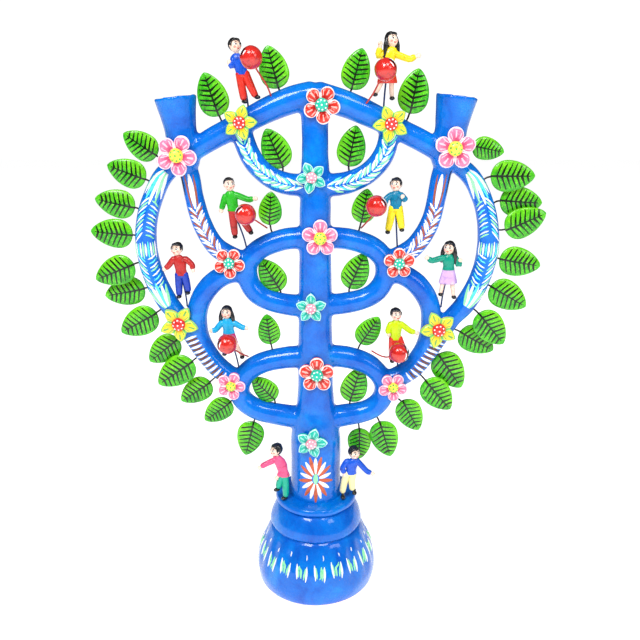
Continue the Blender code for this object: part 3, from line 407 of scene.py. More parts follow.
def blue_glaze(name, chipped=False):
    """The tree's blue: brushed on in uneven coats under a thin varnish, worn to the clay along the foot."""
    material, tree, shader = new_material(name, 0.3, 0.75, 0.05)
    blue = ramp(mottle(tree, 38.0, 5.0, 0.6, 0.5),
                [(0.3, (0.0, 0.08, 0.5)), (0.45, (0.0, 0.135, 0.63)), (0.58, (0.0, 0.17, 0.69)),
                 (0.75, (0.0, 0.26, 0.76))])
    bristles = mottle(tree, 420.0, 6.0, 0.7, 1.2) > 0.66
    colour = blend(bristles * 0.35, blue, (0.0, 0.3, 0.9))
    if chipped:
        height = split(tree, object_place(tree))[2]
        low = (height * (-1 / (CHIP_HEIGHT * MM)) + 1.0).clamped()
        worn = mottle(tree, 130.0) + low * 0.34 > 0.74
        clay = ramp(mottle(tree, 600.0), [(0.35, (0.38, 0.1, 0.04)), (0.7, (0.62, 0.22, 0.1))])
        colour = blend(worn, colour, clay)
    gloss = ramp(mottle(tree, 260.0, 5.0), greys((0.3, 0.16), (0.55, 0.3), (0.75, 0.48)))
    finish(tree, shader, colour, [(70.0, 1.3), (240.0, 0.9), (800.0, 0.5)], gloss=gloss)
    return material


def leaf_paint():
    """Leaf green with a painted highlight, lighter and yellower towards the upper edge, and a black midrib
    and tapering side veins on the front.
    """
    material, tree, shader = new_material("leaf_paint", 0.26, 0.3, 0.3)
    along, across, rim = painted_by(tree)
    wobble = mottle(tree, 110.0, 3.0) - 0.5
    green = ramp(mottle(tree, 150.0, 5.0, 0.6, 0.6),
                 [(0.3, (0.01, 0.2, 0.004)), (0.46, (0.03, 0.38, 0.006)), (0.7, (0.09, 0.56, 0.01))])
    bright = ramp(mottle(tree, 170.0, 4.0, 0.6, 0.3), [(0.3, (0.12, 0.58, 0.005)), (0.7, (0.3, 0.8, 0.01))])
    # Painted highlight: each blade's upper half, towards its top edge, is mixed towards a lighter, yellower
    # green, as if lit from above.
    painted_highlight_upper_half = ((across + wobble * 0.5) * 1.6 + 0.05).clamped()
    colour = blend(painted_highlight_upper_half, green, bright)
    brushed = mottle(tree, 520.0, 3.0, 0.5, 1.5) > 0.6
    colour = blend(brushed * 0.45, colour, (0.3, 0.82, 0.06))
    # Veins stand at equal steps along the midrib and lean towards the tip.
    away = abs(across)
    step = along - away * 0.42 + wobble * 0.045
    from_vein = abs((step * 8.6 + 0.5).maths("FRACT") - 0.5)
    vein = from_vein < rim * -0.16 + 0.24 + wobble * 0.3
    inside = (rim < wobble * 0.35 + 0.84) * (step > 0.1) * (step < 0.84)
    midrib = (away < along * -0.016 + 0.024) * (along < 0.9)
    front = rim > -0.5
    black = (vein * inside).maths("MAXIMUM", midrib) * front
    colour = blend(black, colour, (0.004, 0.012, 0.003))
    finish(tree, shader, colour, [(320.0, 0.3)], bump(black, -0.35, strength=0.7))
    return material


# Petal colours as (heart, body, outline, stroke).
PETALS = {
    "red": ((0.35, 0.005, 0.004), (0.7, 0.03, 0.015), (0.9, 0.78, 0.76), (0.9, 0.5, 0.45)),
    "turquoise": ((0.0, 0.24, 0.19), (0.01, 0.5, 0.38), (0.6, 0.93, 0.85), (0.35, 0.8, 0.7)),
    "pink": ((0.55, 0.03, 0.12), (0.8, 0.2, 0.36), (0.93, 0.72, 0.8), (0.92, 0.6, 0.7)),
    "yellow": ((0.8, 0.5, 0.01), (0.9, 0.74, 0.04), (0.25, 0.66, 0.16), (0.04, 0.36, 0.1)),
}
DOMES = {"red": ("dome_teal", "dot_white"), "turquoise": ("dome_pink", "dot_white"),
         "pink": ("dome_yellow", "dot_green"), "yellow": ("dome_red", "dot_white")}


@cache
def petal_paint(kind):
    """Petals with an outlined rim and three strokes down each, deeper in colour towards the heart."""
    material, tree, shader = new_material("petal_" + kind, 0.28, 0.25, 0.3)
    heart, body, outline, stroke = PETALS[kind]
    reach, across, edge = painted_by(tree)
    wobble = mottle(tree, 260.0) - 0.5
    colour = blend((reach * 2.2 - 0.75).clamped(), heart, body)
    colour = blend((mottle(tree, 420.0) > 0.6) * 0.3, colour, stroke)
    from_line = abs((across * 1.7 + 0.5).maths("FRACT") - 0.5)
    span = (reach > wobble * 0.3 + 0.52) * (reach < 0.84) * (abs(across) < 0.62)
    marks = (from_line < wobble * 0.3 + 0.16) * span
    colour = blend(marks * 0.85, colour, stroke)
    colour = blend(edge > wobble * 0.12 + 0.925, colour, outline)
    finish(tree, shader, colour, [(240.0, 0.35), (900.0, 0.12)])
    return material


# ---------------------------------------------------------------- shapes
class Shape:
    """The vertices and faces of one piece, gathered solid by solid."""

    def __init__(self):
        self.verts, self.faces, self.slots, self.marks, self.materials = [], [], [], [], []

    def loft(self, rings, material, marks=None):
        """A closed solid through rings of equally many points; a ring of one point is a pole."""
        if material not in self.materials:
            self.materials.append(material)
        starts = []
        for k, points in enumerate(rings):
            starts.append(len(self.verts))
            self.verts += [tuple(point) for point in points]
            self.marks += marks[k] if marks else [(0.0, 0.0, 0.0)] * len(points)
        known = len(self.faces)
        for k in range(len(rings) - 1):
            low, high = starts[k], starts[k + 1]
            here, there = len(rings[k]), len(rings[k + 1])
            count = max(here, there)
            for j in range(count):
                after = (j + 1) % count
                if here == 1:
                    face = (low, high + after, high + j)
                elif there == 1:
                    face = (low + j, low + after, high)
                else:
                    face = (low + j, low + after, high + after, high + j)
                self.faces.append(face)
        if len(rings[0]) > 1:
            self.faces.append(tuple(starts[0] + j for j in reversed(range(len(rings[0])))))
        if len(rings[-1]) > 1:
            self.faces.append(tuple(starts[-1] + j for j in range(len(rings[-1]))))
        self.slots += [self.materials.index(material)] * (len(self.faces) - known)

    def make(self, name, body, slot, stands_for=()):
        mesh = bpy.data.meshes.new(name)
        mesh.from_pydata(self.verts, [], self.faces)
        for material in self.materials:
            mesh.materials.append(material)
        mesh.polygons.foreach_set("material_index", self.slots)
        marks = mesh.attributes.new("paint", "FLOAT_VECTOR", "POINT")
        marks.data.foreach_set("vector", [value for mark in self.marks for value in mark])
        mesh.shade_smooth()
        mesh.set_sharp_from_angle(angle=math.radians(60))
        piece = bpy.data.objects.new(name, mesh)
        bpy.context.scene.collection.objects.link(piece)
        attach(piece, body)
        if stands_for:
            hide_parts(*stands_for)
        return piece


def place(x, z, y=0.0):
    return Vector((x, y, z)) * MM


def round_angles(count):
    return [2 * math.pi * k / count for k in range(count)]


def oval(centre, across, up, count):
    return [centre + across * math.cos(angle) + up * math.sin(angle) for angle in round_angles(count)]


def refine(points, radii, per_span=4):
    """A smooth run through points, as (place, radius) pairs."""
    run = []
    last = len(points) - 1
    for k in range(last):
        start, end = points[k], points[k + 1]
        lead = (end - points[max(k - 1, 0)]) / 6
        trail = (points[min(k + 2, last)] - start) / 6
        spots = interpolate_bezier(start, start + lead, end - trail, end, per_span + 1)
        for step in range(per_span):
            share = step / per_span
            run.append((spots[step], radii[k] * (1 - share) + radii[k + 1] * share))
    run.append((points[-1], radii[-1]))
    return run


def tube(shape, run, material, sides=12):
    """A round bar with rounded ends along a run of (place, radius)."""
    rings = []
    last = len(run) - 1
    for k, (spot, radius) in enumerate(run):
        along = (run[min(k + 1, last)][0] - run[max(k - 1, 0)][0]).normalized()
        side = along.cross(FRONT)
        side = side.normalized() if side.length > 1e-3 else EAST
        over = along.cross(side)
        for share in {0: (-0.95, -0.7, 0), last: (0, 0.7, 0.95)}.get(k, (0,)):
            reach = radius * math.sqrt(1 - share * share)
            rings.append(oval(spot + along * radius * share * 0.8, side * reach, over * reach, sides))
    shape.loft(rings, material)


def smooth_tube(shape, points, radii, material, sides=12, per_span=4):
    """A tube through points, with its radii in millimetres."""
    tube(shape, refine(points, [radius * MM for radius in radii], per_span), material, sides)


def blob(shape, centre, half, material, turn=None, columns=16, rows=10, swell=None):
    """An ellipsoid with half sizes (x, y, z) in millimetres; swell scales it by direction."""
    turn = turn or Matrix.Identity(3)
    rings = []
    for row in range(rows + 1):
        polar = math.pi * row / rows
        ring = []
        for angle in round_angles(columns if 0 < row < rows else 1):
            away = Vector((math.sin(polar) * math.cos(angle), math.sin(polar) * math.sin(angle),
                           -math.cos(polar)))
            size = (swell(turn @ away) if swell else 1.0) * MM
            ring.append(centre + turn @ Vector([away[i] * half[i] * size for i in range(3)]))
        rings.append(ring)
    shape.loft(rings, material)


def facing(normal):
    """A rotation whose z runs along the normal and whose y runs up the surface."""
    along = normal.normalized()
    side = UP.cross(along)
    side = side.normalized() if side.length > 1e-4 else EAST
    return Matrix((side, along.cross(side), along)).transposed()


def dab(shape, onto, points, width, material, thick=0.45, sides=6):
    """A tapering brush stroke: points are laid onto a surface, widest in the middle."""
    spots = [onto(point) for point in points]
    rings = []
    last = len(spots) - 1
    for k, (spot, normal) in enumerate(spots):
        along = spots[min(k + 1, last)][0] - spots[max(k - 1, 0)][0]
        side = normal.cross(along).normalized()
        share = k / last
        reach = width * MM * max(math.sin(math.pi * (0.06 + 0.88 * share)) ** 0.7, 0.12) / 2
        lift = thick * MM * (0.35 + 0.65 * math.sin(math.pi * (0.1 + 0.8 * share)))
        rings.append(oval(spot, side * reach, normal * lift, sides))
    shape.loft(rings, material)


# ---------------------------------------------------------------- the blue clay
RUNS = {}
for side in (-1, 1):
    for name, table in (("arch", ARCH), ("hanging", HANGING), ("middle", MIDDLE), ("lower", LOWER),
                        ("inner", INNER), ("outer", OUTER), ("arm", MIDDLE_ARM)):
        RUNS[name, side] = refine([place(x, z) for x, z, _ in table[side]],
                                  [COIL * MM * thick for _, _, thick in table[side]], 5)


def turned(shape, profile, foot, axis, material, sides=40):
    """A solid of revolution from a profile of (radius, height) in millimetres."""
    across = UP.cross(axis).normalized() if abs(axis.z) < 0.9999 else EAST
    over = axis.cross(across)
    shape.loft([oval(foot + axis * height * MM, across * radius * MM, over * radius * MM, sides)
                for radius, height in profile], material)


def skin_piece():
    """The trunk, the coils and the cups as one fused clay skin."""
    shape = Shape()
    clay = blue_glaze("blue_clay")
    turned(shape, TRUNK, Vector(), UP, clay)
    for run in RUNS.values():
        tube(shape, run, clay, 24)
    for low, high in CUP_AXIS.values():
        foot, tip = place(*low), place(*high)
        turned(shape, CUP_OUTSIDE + CUP_INSIDE, foot, (tip - foot).normalized(), clay)
    members = ["crown_branch", "middle_loop", "lower_loop", "inner_arm", "outer_arm", "candle_cup"]
    nodes = ["trunk"] + [member + "_" + side for member in members for side in ("left", "right")]
    skin = shape.make("clay_tree", "tree", "blue_clay", nodes)
    fuse = skin.modifiers.new("fuse", "REMESH")
    fuse.mode = "VOXEL"
    fuse.voxel_size = SKIN_VOXEL * MM
    soften = skin.modifiers.new("soften", "SMOOTH")
    soften.factor = 0.5
    soften.iterations = 9
    fused = bpy.data.meshes.new_from_object(skin.evaluated_get(bpy.context.evaluated_depsgraph_get()))
    skin.modifiers.clear()
    skin.data = fused
    # The normals are copied first, because moving a vertex makes Blender work all of them out again.
    normals = [normal.vector.copy() for normal in fused.vertex_normals]
    places = []
    for vertex, normal in zip(fused.vertices, normals):
        spot = vertex.co * 34
        lump = noise.noise(spot) * 0.5 + noise.noise(spot * 2.6) * 0.22
        places.extend(vertex.co + normal * lump * MM)
    fused.vertices.foreach_set("co", places)
    fused.update()
    fused.shade_smooth()
    return skin


def foot_piece():
    """The bell foot: turned, ringed, fluted by finger, and hollow, as one closed turn from crown to crown."""
    sides = 160
    inside = [oval(place(0, height), EAST * radius * MM, NORTH * radius * MM, sides)
              for radius, height in FOOT_INSIDE]
    outline = refine([Vector((radius, 0, height)) for radius, height in FOOT_OUTSIDE],
                     [0] * len(FOOT_OUTSIDE), 3)
    outside = []
    for spot, _ in outline:
        ring = []
        for angle in round_angles(sides):
            scallop = (0.5 + 0.5 * math.cos((angle - FLUTE_START) * FLUTES)) ** 1.5
            flute = math.exp(-((spot.z - FLUTE_HEIGHT) / 15) ** 4) * scallop
            lump = noise.noise(Vector((math.cos(angle), math.sin(angle), spot.z / 30)) * 2.2) * 0.8
            radius = spot.x - FLUTE_DEPTH * flute + lump * min(1, spot.z / 10)
            ring.append(Vector((math.cos(angle) * radius, math.sin(angle) * radius, spot.z)) * MM)
        outside.append(ring)
    shape = Shape()
    poles = [place(0, FOOT_INSIDE[-1][1] + 0.3)], [place(0, FOOT_OUTSIDE[-1][1])]
    shape.loft([poles[0]] + inside[::-1] + outside + [poles[1]], blue_glaze("foot_clay", chipped=True))
    return shape.make("bell_foot", "tree", "blue_clay", ["foot"])


# ---------------------------------------------------------------- leaves
# The blade's outline as (share of its length, share of its half width, share of its thickness).
BLADE = [spot for spot, _ in refine([Vector(point) for point in (
    (0, 0.06, 0.4), (0.03, 0.42, 0.6), (0.1, 0.73, 0.85), (0.22, 0.95, 1), (0.36, 1.02, 1),
    (0.54, 0.96, 0.95), (0.7, 0.8, 0.85), (0.84, 0.56, 0.7), (0.95, 0.28, 0.45), (1, 0.05, 0.15))],
    [0] * 10, 3)]


def leaf_piece(name, body, foot, base, tip, material):
    """A puffy ovate blade on a short wire; the paint marks run along it, across it and out to its rim."""
    shape = Shape()
    length = (tip - base).length
    along = (tip - base).normalized()
    across = along.cross(FRONT).normalized()
    if across.z < 0:
        across = -across
    rings, marks = [], []
    cup = chance.uniform(-0.6, 0.9) * MM
    for share, wide, thick in BLADE:
        centre = base + along * (length * share)
        ring, mark = [], []
        for angle in round_angles(28):
            out, face = math.cos(angle), math.sin(angle)
            sideways = out * wide * length * LEAF_WIDTH / (2 * LEAF_LENGTH)
            puff = math.copysign(abs(face) ** 0.8, face) * thick * LEAF_THICK * MM / 2
            bend = cup * (out * wide) ** 2
            wave = noise.noise(centre * 90 + along * out) * 0.35 * MM
            ring.append(centre + across * sideways + FRONT * (puff - bend - wave))
            mark.append((share, sideways / length, abs(out) if face > -0.02 else -1.0))
        rings.append(ring)
        marks.append(mark)
    shape.loft(rings, material, marks)
    stalk = base - foot
    wire = [foot - stalk.normalized() * 1.5 * MM, foot + stalk * 0.5 + UP * 0.2 * MM, base + along * 5 * MM]
    smooth_tube(shape, wire, [0.75, 0.8, 0.8], paint("black_paint"), 8)
    return shape.make(name, body, "leaf_green", [body] if body != "tree" else ())


def node_points(node):
    """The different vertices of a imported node, in the order of its mesh."""
    points = (vertex.co for vertex in bpy.data.objects[node].data.vertices)
    return list({tuple(round(value, 7) for value in point): point.copy() for point in points}.values())


def middle_of(points):
    return sum(points, Vector()) / len(points)


def leaves(skin_tree):
    """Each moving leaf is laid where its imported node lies, and each inner leaf by its row of the table."""
    material = leaf_paint()
    for node in sorted(name for name in PIVOTS if name.startswith("leaf")):
        points = node_points(node)
        tip = max(points, key=lambda point: (point - PIVOTS[node]).length)
        points.sort(key=lambda point: (point - tip).length)
        tip, base, foot = (middle_of(ring) for ring in (points[:4], points[20:24], points[-4:]))
        leaf_piece("clay_" + node, node, foot, base, tip, material)
    for k, (x, z, bearing, size) in enumerate(INNER_LEAVES):
        base, angle = place(x, z), math.radians(bearing)
        tip = base + (EAST * math.cos(angle) + UP * math.sin(angle)) * LEAF_LENGTH * size * MM
        leaf_piece(f"inner_leaf_{k + 1}", "tree", skin_tree.find_nearest(base)[0], base, tip, material)


# ---------------------------------------------------------------- flowers
def petal_reach(kind, phase, size):
    """How far a petal reaches at a phase from -1 to 1 across it, as a share of the flower's radius."""
    if kind == "yellow":
        return 0.57 + 0.43 * size * (1 - abs(phase))
    if kind == "turquoise":
        return 0.5 + 0.5 * size * (1 - abs(phase)) ** 0.72
    return 0.56 + 0.44 * size * math.cos(phase * math.pi / 2) ** 0.6


def flower_piece(name, x, z, radius, kind, turn, front):
    """Five puffed petals round a dotted dome, on clay whose front is at a depth in metres."""
    shape = Shape()
    dome, dots = (paint(colour) for colour in DOMES[kind])
    heart = place(x, z, front / MM)
    sizes = [chance.uniform(0.93, 1.07) for _ in range(5)]
    leans = [chance.uniform(-0.5, 0.8) for _ in range(5)]
    rings, marks = [[heart - FRONT * MM]], [[(0, 0, 0)]]
    rows = 12
    shares = [(share, True) for share in (0.3, 0.6, 0.85, 0.97)]
    shares += [(math.sin(math.pi / 2 * row / rows), False) for row in range(rows, 0, -1)]
    for share, back in shares:
        ring, mark = [], []
        for angle in round_angles(120):
            turns = angle * 5 / (2 * math.pi)
            petal, phase = int(turns) % 5, (turns % 1) * 2 - 1
            wide = petal_reach(kind, phase, sizes[petal])
            puff = (1 - share ** 6) * (0.25 + 0.75 * math.cos(phase * math.pi / 2) ** 0.5) * 3.8
            curl = share ** 2 * (1.6 + leans[petal] * (1 - abs(phase)))
            rise = -1.0 + curl * 0.4 if back else 1.2 + puff * 0.8 + curl
            crease = 1 - (1 - abs(phase)) * 0.628 * share * wide * 1.1
            edge = max(share, crease if share > 0.34 else 0.0)
            spin = angle + math.radians(turn + 90)
            away = EAST * math.cos(spin) + UP * math.sin(spin)
            ring.append(heart + away * radius * wide * share * MM + FRONT * rise * MM)
            mark.append((share, phase, 0.0 if back else edge))
        rings.append(ring)
        marks.append(mark)
    rings.append([heart + FRONT * 3.4 * MM])
    marks.append([(0, 0, 0)])
    shape.loft(rings, petal_paint(kind), marks)
    boss, flat = radius * 0.36, 0.78
    face = facing(FRONT)
    middle = heart + FRONT * 3.2 * MM
    blob(shape, middle, (boss, boss, boss * flat), dome, face, 24, 12)
    for k in range(9):
        spread = 1.2 * (0 if k == 0 else 0.62 + 0.05 * chance.random())
        angle = 2 * math.pi * k / 8 + turn
        away = Vector((math.sin(spread) * math.cos(angle), math.sin(spread) * math.sin(angle),
                       math.cos(spread)))
        spot = middle + face @ Vector((away.x, away.y, away.z * flat)) * boss * MM
        blob(shape, spot, (0.85, 0.85, 0.45), dots, facing(face @ away), 8, 6)
    return shape.make("flower_" + name, "tree", "blue_clay")


# ---------------------------------------------------------------- balls
# Paint marks as (lean from the front, width, colour, first and last share of the ball's arc).
BALL_MARKS = [(1.0, 2.6, "black_paint", 0, 1), (0.72, 1.4, "white_paint", 0.1, 0.8),
              (1.22, 1.0, "white_paint", 0.25, 0.9)]


def ball_piece(name, centre, wire_points, arc, skin_tree):
    """A ball with raised paint marks, on a wire from the clay behind it."""
    shape = Shape()
    middle = place(*centre, BALL_DEPTH)
    radius = BALL_RADIUS * MM
    blob(shape, middle, (BALL_RADIUS,) * 3, paint("ball_red"), None, 36, 24,
         lambda away: 1 + noise.noise(away * 1.7 + middle * 50) * 0.035)

    def onto(spot):
        angle, lean = spot
        away = (EAST * math.cos(angle) + UP * math.sin(angle)) * math.sin(lean) + FRONT * math.cos(lean)
        return middle + away * radius, away

    start, end = (math.radians(value) for value in arc)
    for lean, width, colour, low, high in BALL_MARKS:
        spots = [(start + (end - start) * (low + (high - low) * k / 7), lean) for k in range(8)]
        dab(shape, onto, spots, width, paint(colour), 0.35)
    for k in range(7 if name == STRIPED_BALL else 0):
        angle = math.radians(-62 + 17 * k)
        stripe = [(angle + 0.08 * step, 0.95 + 0.1 * step) for step in range(6)]
        dab(shape, onto, stripe, 2.3, paint(("black_paint", "white_paint")[k % 2]), 0.4)
    foot = place(*wire_points[0])
    hit = skin_tree.ray_cast(foot + FRONT * FAR, -FRONT)[0] or foot
    run = [hit - FRONT * MM]
    for k, point in enumerate(wire_points[1:]):
        share = (k + 1) / len(wire_points)
        run.append(place(*point, hit.y / MM * (1 - share) + BALL_DEPTH * share))
    run.append(middle - (middle - run[-1]).normalized() * radius * 0.8)
    smooth_tube(shape, run, [0.7] * len(run), paint("wire_red"), 8)
    return shape.make("clay_" + name, name, "ball_red", [name])


# ---------------------------------------------------------------- dolls
class Doll(Shape):
    """One little clay doll, built part by part from its row in DOLLS."""

    def __init__(self, plan, depth):
        super().__init__()
        self.plan, self.depth = plan, depth
        self.skin, self.black = paint("doll_skin"), paint("doll_black")
        self.top, self.below = paint(plan["top"]), paint(plan["below"])
        yaw = math.radians(plan["yaw"])
        self.ahead = Vector((math.sin(yaw), -math.cos(yaw), 0))
        self.right = Vector((math.cos(yaw), math.sin(yaw), 0))
        tilt = math.radians(14)
        self.face = self.ahead * math.cos(tilt) + UP * math.sin(tilt)
        crown = UP * math.cos(tilt) - self.ahead * math.sin(tilt)
        self.head_turn = Matrix((self.right, -self.face, crown)).transposed()
        self.hips, self.chest, self.neck, self.head = (
            self.spot(plan[key]) for key in ("hips", "chest", "neck", "head"))
        self.torso()
        for arm in plan["arms"]:
            self.arm(*arm)
        if "skirt" in plan:
            self.skirt()
        for leg in plan["legs"]:
            self.leg(*leg)
        self.features()
        self.hair()
        foot = self.spot(plan["foot"])
        wire = [foot - UP * 2 * MM, foot * 0.7 + self.hips * 0.3 - FRONT * 1.5 * MM, self.hips - UP * MM]
        smooth_tube(self, wire, [0.75] * 3, paint("wire_blue"), 8)

    def spot(self, point, forward=0.0):
        return place(point[0], point[1], self.depth - forward)

    def torso(self):
        hips, chest, neck = self.hips, self.chest, self.neck
        blob(self, hips - UP * 0.6 * MM, (5.2, 3.8, 3.4), self.below, None, 20, 10)
        rows = [(hips - UP * 0.4 * MM, 4.6, 3.3), (hips - UP * 0.3 * MM, 5.5, 4.1),
                (hips + UP * 1.4 * MM, 5.2, 3.9), (hips * 0.5 + chest * 0.5, 4.9, 3.7), (chest, 5.7, 4.1),
                (chest * 0.45 + neck * 0.55, 5.7, 3.7), (neck - UP * 0.2 * MM, 3.8, 2.9),
                (neck + UP * 0.9 * MM, 2.2, 2.0)]
        self.loft([oval(centre, EAST * wide * MM, NORTH * thick * MM, 20) for centre, wide, thick in rows],
                  self.top)
        throat = [(neck - UP * 0.5 * MM, 1.9 * MM), (neck + UP * 1.5 * MM, 1.8 * MM), (self.head, 1.8 * MM)]
        tube(self, throat, self.skin)

    def arm(self, shoulder, elbow, hand):
        inner = self.spot(((shoulder[0] + self.plan["chest"][0]) / 2, shoulder[1] - 1))
        bend, grip = self.spot(elbow, 1.5), self.spot(hand, 3.0)
        cuff = bend + (grip - bend) * 0.5
        sleeve = [inner, self.spot(shoulder), bend, cuff]
        smooth_tube(self, sleeve, [2.6, 2.9, 2.6, 2.5], self.top, 12, 3)
        tube(self, [(cuff - (grip - bend) * 0.1, 1.55 * MM), (grip, 1.5 * MM)], self.skin, 10)
        blob(self, grip, (2.0, 1.5, 2.1), self.skin, None, 12, 8)

    def skirt(self):
        hem = self.spot((self.plan["hips"][0], self.plan["skirt"]))
        waist = self.hips + UP * 0.8 * MM
        rings = []
        for share in (0, 0.15, 0.35, 0.6, 0.8, 0.95, 1.0):
            ring = []
            for angle in round_angles(36):
                pleat = 0.5 * share * math.cos(angle * 7) - (0.8 if share == 1 else 0)
                flare = 4.9 + 3.4 * share ** 0.8 + pleat
                away = EAST * math.cos(angle) + NORTH * math.sin(angle) * 0.6
                ring.append(waist + (hem - waist) * share + away * flare * MM)
            rings.append(ring)
        self.loft(rings, self.below)
        self.loft([oval(waist + UP * rise * MM, EAST * 5.1 * MM, NORTH * 3.7 * MM, 24)
                   for rise in (-0.7, 0, 0.7)], self.black)

    def leg(self, hip, ankle, shoe):
        bare = "skirt" in self.plan
        heel, toe = self.spot(ankle), self.spot(shoe)
        high = self.spot(hip) + UP * 1.5 * MM
        low = toe if bare else heel * 0.6 + toe * 0.4
        radii = [2.2, 2.0, 1.7] if bare else [3.6, 3.4, 2.8]
        shin = [high, high * 0.45 + heel * 0.55, low]
        smooth_tube(self, shin, radii, self.skin if bare else self.below, 14)
        ankle_bar = [(toe + UP * 2.2 * MM, 1.5 * MM), (toe, 1.5 * MM)]
        tube(self, ankle_bar, self.skin if bare else self.black, 10)
        turns_away = abs(self.plan["yaw"]) > 30
        step = (self.ahead if turns_away else FRONT) * 1.1 * MM
        shoe_turn = Matrix((self.right, -self.ahead, UP)).transposed() if turns_away else None
        blob(self, toe + step - UP * 0.4 * MM, (2.3, 3.6, 1.7), self.black, shoe_turn, 14, 8)

    def on_head(self, spot, proud=1.0):
        """A place and its normal on the head, from (degrees round, degrees up) off the face's middle."""
        turn, lift = (math.radians(value) for value in spot)
        away = Vector((math.sin(turn) * math.cos(lift), -math.cos(turn) * math.cos(lift), math.sin(lift)))
        reach = Vector([away[i] * HEAD_HALF[i] for i in range(3)]) * proud * MM
        return self.head + self.head_turn @ reach, (self.head_turn @ away).normalized()

    def mark_head(self, spot, proud, half, material, columns=10, rows=6):
        centre, out = self.on_head(spot, proud)
        blob(self, centre, half, material, facing(out), columns, rows)

    def features(self):
        """The head with its eyes, brows, cheeks, ears, nose and mouth."""
        blob(self, self.head, HEAD_HALF, self.skin, self.head_turn, 24, 16,
             lambda away: 1 - 0.09 * max(0.0, -away.z) * (1 - abs(away.dot(self.ahead))))
        for side in (-1, 1):
            self.mark_head((side * 24, 3), 0.99, (1.15, 0.8, 0.3), paint("white_paint"))
            self.mark_head((side * 23, 3), 1.03, (0.7, 0.75, 0.3), self.black)
            brow = [(side * (10 + 7 * k), 23 - 2.2 * (k - 1.5) ** 2) for k in range(5)]
            dab(self, self.on_head, brow, 0.85, self.black, 0.3)
            self.mark_head((side * 40, -18), 0.985, (1.1, 0.9, 0.25), paint("doll_blush"), 12)
            self.mark_head((side * 92, -2), 1.0, (0.9, 1.2, 0.7), self.skin)
        self.mark_head((0, -6), 1.02, (0.75, 1.0, 0.85), self.skin, 10, 8)
        lips = [(-16 + 8 * k, -27 - 1.5 * (4 - (k - 2) ** 2)) for k in range(5)]
        dab(self, self.on_head, lips, 1.0, paint("lip_red"), 0.35)

    def hair(self):
        """A lumpy cap of hair behind the face, with a fringe; long hair falls beside the neck as well."""
        style, head, ahead = self.plan["hair"], self.head, self.face
        cropped = style == "cropped"
        full = {"short": 1.1, "cropped": 1.05, "full": 1.2, "long": 1.14}[style]
        crown = head - ahead * (1.7 if cropped else 1.9) * MM + UP * (1.8 if cropped else 1.6) * MM
        wide, deep, tall = HEAD_HALF
        blob(self, crown, (wide, deep * 0.92, tall * 0.88), self.black, self.head_turn, 24, 16,
             lambda away: full * (1 + 0.07 * noise.noise(away * 2.6 + head * 80)))

        def lock(spots, proud, width, thick):
            dab(self, lambda spot: self.on_head(spot, proud), spots, width, self.black, thick, 8)

        for k in range(7):
            turn = -54 + 18 * k + chance.uniform(-3, 3)
            low = 38 if cropped else 33 + chance.uniform(-3, 3)
            lock([(turn * 0.8, 62), (turn * 0.95, 45), (turn, low)], 1.06, 3.4, 1.1)
        for side in (-1, 1):
            out = self.right * side
            if style in ("short", "full"):
                lock([(side * 72, 40), (side * 78, 18), (side * 76, -4)], 1.05, 2.6, 0.9)
            if style == "long":
                start = head + out * wide * 0.95 * MM + UP * 1.5 * MM - ahead * 0.8 * MM
                middle = head + out * wide * 1.2 * MM - UP * 4 * MM - ahead * 0.5 * MM
                end = Vector((middle.x + out.x * MM, middle.y, self.chest.z - MM))
                smooth_tube(self, [start, middle, end], [1.6, 2.1, 1.1], self.black, 10)
        if style == "long":
            back = [head - ahead * deep * 0.8 * MM, head - ahead * deep * 0.95 * MM - UP * 5 * MM,
                    self.chest - ahead * 4.6 * MM]
            smooth_tube(self, back, [3.4, 3.6, 1.8], self.black, 14)


# ---------------------------------------------------------------- brush strokes
def between(first, second, share):
    """Each part of one row blended with the same part of another."""
    return [one * (1 - share) + other * share for one, other in zip(first, second)]


def blended(marks, count):
    """Evenly stepped pairs of numbers, straight from each mark to the next."""
    pairs = []
    for k in range(count):
        step = k / (count - 1) * (len(marks) - 1)
        low = min(int(step), len(marks) - 2)
        pairs.append(between(marks[low], marks[low + 1], step - low))
    return pairs


def on_run(run, share):
    """The place, radius and direction of a run at a share of its steps."""
    step = min(max(share, 0.0), 0.9999) * (len(run) - 1)
    low = int(step)
    return *between(run[low], run[low + 1], step - low), (run[low + 1][0] - run[low][0]).normalized()


def share_at(run, height):
    """The share of a falling run at which it reaches a height in millimetres."""
    for k in range(len(run) - 1):
        high, low = run[k][0].z, run[k + 1][0].z
        if low <= height * MM <= high:
            return (k + (high - height * MM) / (high - low)) / (len(run) - 1)
    return 0.0 if height * MM > run[0][0].z else 1.0


class Brush:
    """Lays strokes on a surface: along a coil, or straight from the front."""

    def __init__(self, shape, surface):
        self.shape, self.surface = shape, surface

    def nearest(self, point):
        return self.surface.find_nearest(point)[:2]

    def ahead_of(self, point):
        """Where a ray from far in front meets the surface, or else the nearest place."""
        spot, normal = self.surface.ray_cast(point, -FRONT)[:2]
        return (spot, normal) if spot else self.nearest(point)

    def along_coil(self, run, marks, outward, width, colour):
        """marks are (share of the run, degrees round the coil from its front towards the outside)."""
        points = []
        for share, degrees in blended(marks, 7):
            spot, radius, along = on_run(run, share)
            side, angle = along.cross(FRONT).normalized() * outward, math.radians(degrees)
            points.append(spot + (FRONT * math.cos(angle) + side * math.sin(angle)) * radius * 1.05)
        dab(self.shape, self.nearest, points, width, paint(colour), 0.4)

    def from_front(self, marks, width, colour):
        """marks are (x, z) in millimetres."""
        points = [place(x, z) + FRONT * FAR for x, z in blended(marks, 9)]
        dab(self.shape, self.ahead_of, points, width, paint(colour), 0.4)


